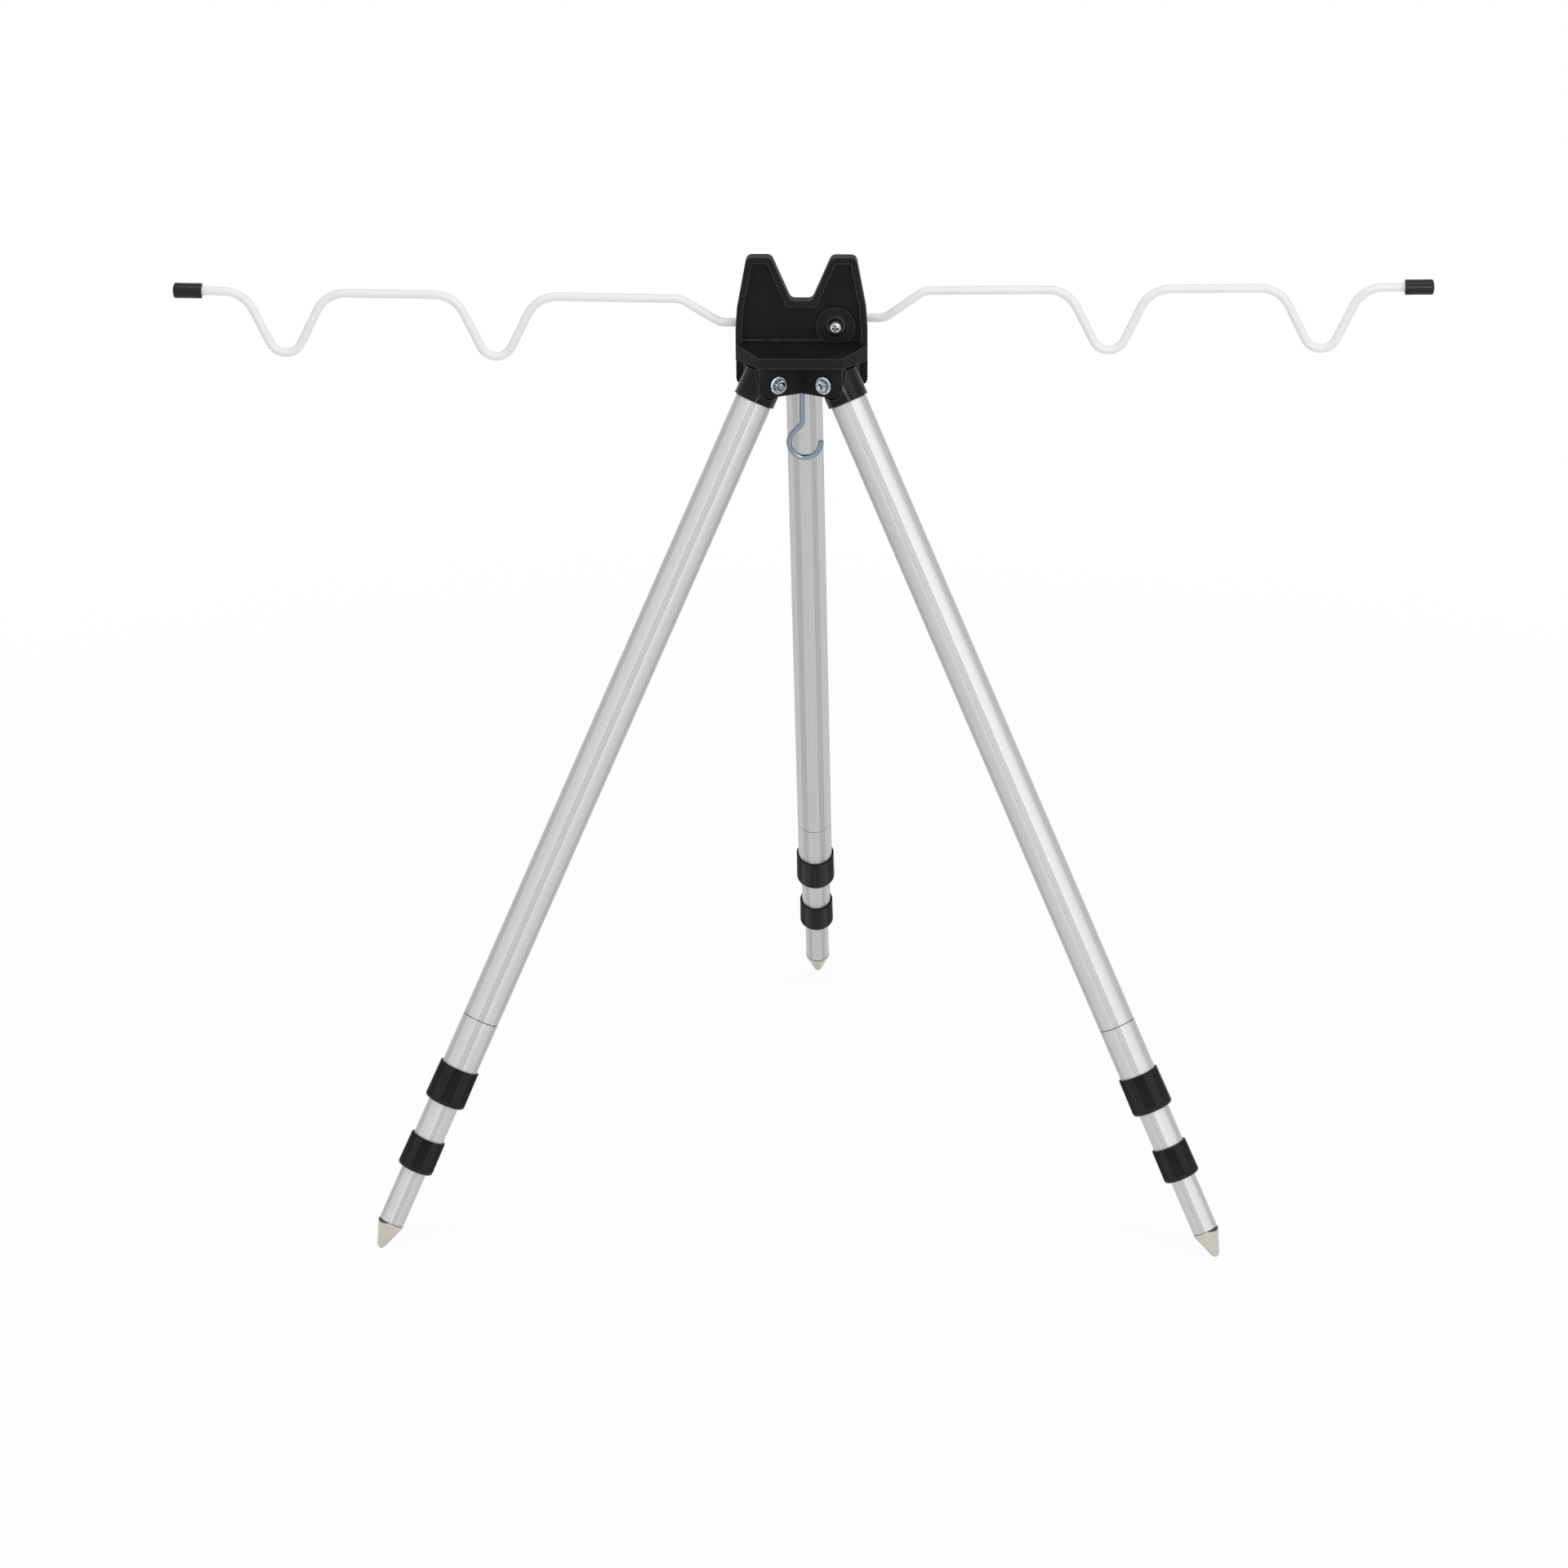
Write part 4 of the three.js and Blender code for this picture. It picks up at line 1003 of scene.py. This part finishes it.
HOOK_NUT_END = ((2.3, 0.0, 0.0), (3.7, 0.0, HEX), (4.1, 0.15, HEX), (4.9, 0.6, HEX))
# Thickness of a bolt's and a screw's head, and depth of their recesses
BOLT_HEAD, BOLT_RECESS, SCREW_HEAD, SCREW_RECESS = 3.7 * MM, 1.9 * MM, 3.0 * MM, 2.0 * MM


def foot_of_hexagon(point, rise):
    """Whether a point lies in the corner between a flange and the hexagon on it."""
    return 0.85 * MM < rise < 1.1 * MM and point.xy.length < 5.0 * MM


class TRIPOD_OT_fasteners(bpy.types.Operator):
    """Build the hinge bolts and nuts, the pivot screws and their bushes"""

    bl_idname = "tripod.fasteners"
    bl_label = "Fasteners"

    def execute(self, context):
        sizes = context.scene.tripod_sizes
        for side in LEGS:
            hinge = f"leg_{side}_fold"
            place = upright(-joint_axis(hinge), joint_place(hinge))
            self.bolt(sizes, side, place)
            self.nut(side, place)
        for name, side in ARMS.items():
            place = upright((0.0, -side, 0.0), joint_place(f"arm_{name}_fold"))
            self.screw(sizes, name, place)
            self.bush(name, place)
        return {"FINISHED"}

    def zinc(self, name, shape, place, node, hollow, tool=None):
        piece(name, shape, "zinc", "head", place, node, hollow, tool)

    def bolt(self, sizes, side, place):
        low, high, _ = extent(f"hinge_bolt_{side}", place)
        seat = high - BOLT_HEAD
        stack = [
            (0.0, low, 0.0),
            (1.7 * MM, low, 0.0),
            *threaded(SHANK * MM, low + 0.5 * MM, low + 4.5 * MM, sizes.thread_pitch),
            (SHANK * MM, seat, 0.0),
            *over(seat, FLANGE),
            *over(high, BOLT_TOP),
        ]

        def corners(point):
            """Painted shade in the cross recess, at the foot of the hexagon and along the shank."""
            if foot_of_hexagon(point, point.z - seat):
                return 0.85
            if point.z < seat - 0.05 * MM:
                return 0.5
            return 0.75 if point.z < high - 0.5 * MM and point.xy.length < 2.6 * MM else 0.0

        tool = cross_tool(sizes.recess, high + 0.1 * MM, BOLT_RECESS)
        shape = skin(hex_rings(stack), closed=False)
        self.zinc(f"fine_bolt_{side}", shape, place, f"hinge_bolt_{side}", corners, tool)

    def nut(self, side, place):
        end, seat, _ = extent(f"hinge_nut_{side}", place)
        stack = [(BORE * MM, seat, 0.0), *over(seat, FLANGE, -1), *over(end, NUT_END)]

        def corners(point):
            """Painted shade at the foot of the hexagon and in the bore."""
            if foot_of_hexagon(point, seat - point.z):
                return 0.85
            return (3.2 * MM - point.xy.length) / (0.2 * MM)

        shape = skin(hex_rings(stack))
        self.zinc(f"fine_nut_{side}", shape, place, f"hinge_nut_{side}", corners)

    def screw(self, sizes, name, place):
        low, high, _ = extent(f"arm_screw_{name}", place)
        outline = over(low, SCREW_END) + over(high - SCREW_HEAD, SCREW_SEAT) + over(high, SCREW_TOP)

        # Painted shade in the cross recess
        def recess(point):
            return 0.6 if point.z < high - 0.35 * MM and point.xy.length < 2.6 * MM else 0.0

        tool = cross_tool(sizes.recess, high + 0.1 * MM, SCREW_RECESS)
        shape = skin(turned(eased(outline)), closed=False)
        self.zinc(f"fine_screw_{name}", shape, place, f"arm_screw_{name}", recess, tool)

    def bush(self, name, place):
        low, high, radius = extent(f"pivot_bush_{name}", place)
        bore, edge, flange = BORE * MM, 0.25 * MM, low + 1.2 * MM
        outline = [
            (bore, low),
            (radius, low, edge),
            (radius, flange, edge),
            (5.4 * MM, flange, edge),
            (5.2 * MM, low + 2.6 * MM),
            (4.9 * MM, low + 3.8 * MM),
            (4.6 * MM, high, edge),
            (bore, high),
        ]
        shape, node = skin(turned(eased(outline))), f"pivot_bush_{name}"
        piece(f"fine_bush_{name}", shape, "bush", "head", place, node)


# The hook's wire: radius of its loop, how far the loop's middle lies beside the axis and below the
# swivel, radius of the elbow, and the straight bit at its tip
LOOP, LOOP_OFFSET, LOOP_FALL, ELBOW, HOOK_TIP = 10.7 * MM, 2.0 * MM, 46.7 * MM, 5.0 * MM, 1.5 * MM
# Sides of the hook's wire, and its broken ends: share of the radius left, and height in millimetres
HOOK_SIDES, END_SHARE, END_BREAK = 32, 0.82, 0.3


class TRIPOD_OT_hook(bpy.types.Operator):
    """Build the ballast hook and its nut"""

    bl_idname = "tripod.hook"
    bl_label = "Ballast hook"

    def execute(self, context):
        place = Matrix.Translation(joint_place("hook_swivel"))
        wire = self.bent(extent("ballast_hook", place)[1])
        radius = context.scene.tripod_sizes.hook_wire / 2
        rings = wire.rings(radius, 1, HOOK_SIDES)
        first, last = (wire.ring(i, radius * END_SHARE, 1, HOOK_SIDES) for i in (0, -1))
        back = Vector((math.cos(wire.heading), 0.0, math.sin(wire.heading))) * END_BREAK * MM
        rings[0] = [point - Vector((0.0, 0.0, END_BREAK * MM)) for point in rings[0]]
        rings[-1] = [point - back for point in rings[-1]]
        shape = skin([first, *rings, last], closed=False)
        piece("fine_hook", shape, "hook", "hook", place, "ballast_hook")
        low, high, _ = extent("hook_nut", place)
        stack = over(low, HOOK_NUT_END) + over(high, HOOK_NUT_END, -1)[::-1]
        shape = skin(hex_rings(stack))
        piece("fine_hook_nut", shape, "zinc", "hook", place, "hook_nut")
        return {"FINISHED"}

    def bent(self, top):
        """The wire from its top end: down, out at the elbow, and round the loop."""
        swing = math.radians(45.0)
        sine, cosine = math.sin(swing), math.cos(swing)
        slant = (LOOP * cosine - LOOP_OFFSET - ELBOW * (1 - cosine)) / sine
        start = LOOP_FALL - (LOOP + ELBOW) * sine - slant * cosine
        wire = Wire(0.0, top, -90.0).run(top + start).bend(ELBOW, -45.0).run(slant)
        return wire.bend(LOOP, 225.0).run(HOOK_TIP)


# Place and size of each lamp
LAMPS = {
    "key": ((1.9, -1.6, 1.9), (1.6, 1.6)),
    "front": ((0.6, -3.2, 1.4), (0.16, 1.0)),
    "top": ((0.0, -0.75, 2.9), (2.2, 0.12)),
}


def lamp(name, place, size, power, target):
    data = bpy.data.lights.new(name, "AREA")
    data.energy = power
    data.shape = "RECTANGLE"
    data.size, data.size_y = size
    made = bpy.data.objects.new(name, data)
    bpy.context.scene.collection.objects.link(made)
    made.location = place
    made.rotation_euler = (target - Vector(place)).to_track_quat("-Z", "Y").to_euler()


class TRIPOD_OT_studio(bpy.types.Operator):
    """Set up the floor, the lamps, the white surroundings and the camera"""

    bl_idname = "tripod.studio"
    bl_label = "Studio and camera"

    def execute(self, context):
        scene, studio = context.scene, context.scene.tripod_studio
        self.floor(scene, studio)
        self.surroundings(scene, studio)
        middle = Vector((0.0, -0.08, 0.35))
        for name, (place, size) in LAMPS.items():
            lamp(name, place, size, getattr(studio, name), middle)
        self.camera(scene, studio)
        scene.view_settings.view_transform = "Standard"
        return {"FINISHED"}

    def floor(self, scene, studio):
        """A pale floor that keeps the shadow, and is white to the camera away from the tripod."""
        finish = Finish("studio_floor", False, Roughness=0.9)
        grain = finish.noise(30.0, detail=4.0)
        tint = studio.floor
        finish.put(Base_Color=finish.mixed(grain, tinted(tint, 0.99), tinted(tint, 1.01)))
        white = finish.node("ShaderNodeEmission", None, {"Color": (1.0, 1.0, 1.0), "Strength": 1.0})
        away = finish.vector("LENGTH", finish.place, output="Value")
        shown = finish.ray("Camera") * finish.spread(away, 0.6, 1.4, 0.92, 1.0)
        shown = shown + finish.ray("Glossy") * 0.3
        surface = Value(finish, finish.shader.outputs[0])
        mix = finish.node("ShaderNodeMixShader", None, {0: shown, 1: surface, 2: white})
        finish.feed(finish.output.inputs["Surface"], mix)
        mesh = bpy.data.meshes.new("floor")
        reach = 30.0
        corners = [(-reach, -reach, 0), (reach, -reach, 0), (reach, reach, 0), (-reach, reach, 0)]
        mesh.from_pydata(corners, [], [(0, 1, 2, 3)])
        mesh.materials.append(finish.material)
        floor = bpy.data.objects.new("floor", mesh)
        floor.location.z = -0.2 * MM
        scene.collection.objects.link(floor)

    def surroundings(self, scene, studio):
        """Even light from all round. The camera and glass see white, and metal sees it in front."""
        world = bpy.data.worlds.new("surroundings")
        scene.world = world
        world.use_nodes = True
        sky = Nodes(world.node_tree)
        plain = sky.node("ShaderNodeBackground", None, {"Strength": studio.sky})
        white = sky.node("ShaderNodeBackground", None, {"Color": (1.0, 1.0, 1.0)})
        where = sky.node("ShaderNodeTexCoord", output="Generated")
        back = sky.node("ShaderNodeSeparateXYZ", None, {0: where}, "Y")
        shine = sky.node(
            "ShaderNodeMapRange",
            None,
            {"Value": back, "From Min": -0.4, "From Max": 0.4, "To Min": 1.0, "To Max": 0.3},
        )
        seen = shine * sky.ray("Glossy")
        for kind in ("Transmission", "Camera"):
            seen = seen.maths("MAXIMUM", seen, sky.ray(kind))
        mix = sky.node("ShaderNodeMixShader", None, {0: seen, 1: plain, 2: white})
        sky.add("ShaderNodeOutputWorld", None, {"Surface": mix})

    def camera(self, scene, studio):
        data = bpy.data.cameras.new("camera")
        data.lens = studio.lens
        data.sensor_width = 36.0
        data.clip_end = 100.0
        eye = bpy.data.objects.new("camera", data)
        scene.collection.objects.link(eye)
        turn = Matrix.Rotation(studio.eye_turn, 3, "Z")
        middle = joint_place("hook_swivel")
        spot = turn @ Vector((0.0, -studio.eye_distance, 0.0))
        place = Vector((middle.x + spot.x, middle.y + spot.y, studio.eye_height))
        pan, pitch, roll = studio.eye_pan, studio.eye_pitch, studio.eye_roll
        across = Vector((math.cos(pan), math.sin(pan), 0.0))
        ahead = Vector((-math.sin(pan), math.cos(pan), 0.0))
        up = ahead * math.sin(pitch) + Vector((0.0, 0.0, math.cos(pitch)))
        look = ahead * math.cos(pitch) - Vector((0.0, 0.0, math.sin(pitch)))
        right = across * math.cos(roll) + up * math.sin(roll)
        top = up * math.cos(roll) - across * math.sin(roll)
        basis = turn @ Matrix((right, top, -look)).transposed()
        eye.matrix_world = Matrix.Translation(place) @ basis.to_4x4()
        scene.camera = eye


GROUPS = {
    "tripod_sizes": TripodSizes,
    "tripod_finishes": TripodFinishes,
    "tripod_studio": TripodStudio,
}
OPERATORS = (
    TRIPOD_OT_mouldings,
    TRIPOD_OT_inner_pieces,
    TRIPOD_OT_tubes,
    TRIPOD_OT_collars,
    TRIPOD_OT_spikes,
    TRIPOD_OT_arms,
    TRIPOD_OT_caps,
    TRIPOD_OT_fasteners,
    TRIPOD_OT_hook,
    TRIPOD_OT_studio,
)


class TRIPOD_PT_panel(bpy.types.Panel):
    """Sizes, finishes and steps of the rod tripod"""

    bl_label = "Rod tripod"
    bl_idname = "TRIPOD_PT_panel"
    bl_space_type = "VIEW_3D"
    bl_region_type = "UI"
    bl_category = "Rod tripod"

    def draw(self, context):
        for group in (getattr(context.scene, name) for name in GROUPS):
            box = self.layout.box()
            for name in group.__annotations__:
                box.prop(group, name)
        for operator in OPERATORS:
            self.layout.operator(operator.bl_idname)


CLASSES = (*GROUPS.values(), *OPERATORS, TRIPOD_PT_panel)


def register():
    for cls in CLASSES:
        bpy.utils.register_class(cls)
    for name, group in GROUPS.items():
        setattr(bpy.types.Scene, name, PointerProperty(type=group))


def unregister():
    for name in GROUPS:
        delattr(bpy.types.Scene, name)
    for cls in reversed(CLASSES):
        bpy.utils.unregister_class(cls)


def main():
    register()
    for operator in OPERATORS:
        group, name = operator.bl_idname.split(".")
        getattr(getattr(bpy.ops, group), name)()
    bpy.context.view_layer.update()


if __name__ == "__main__":
    main()
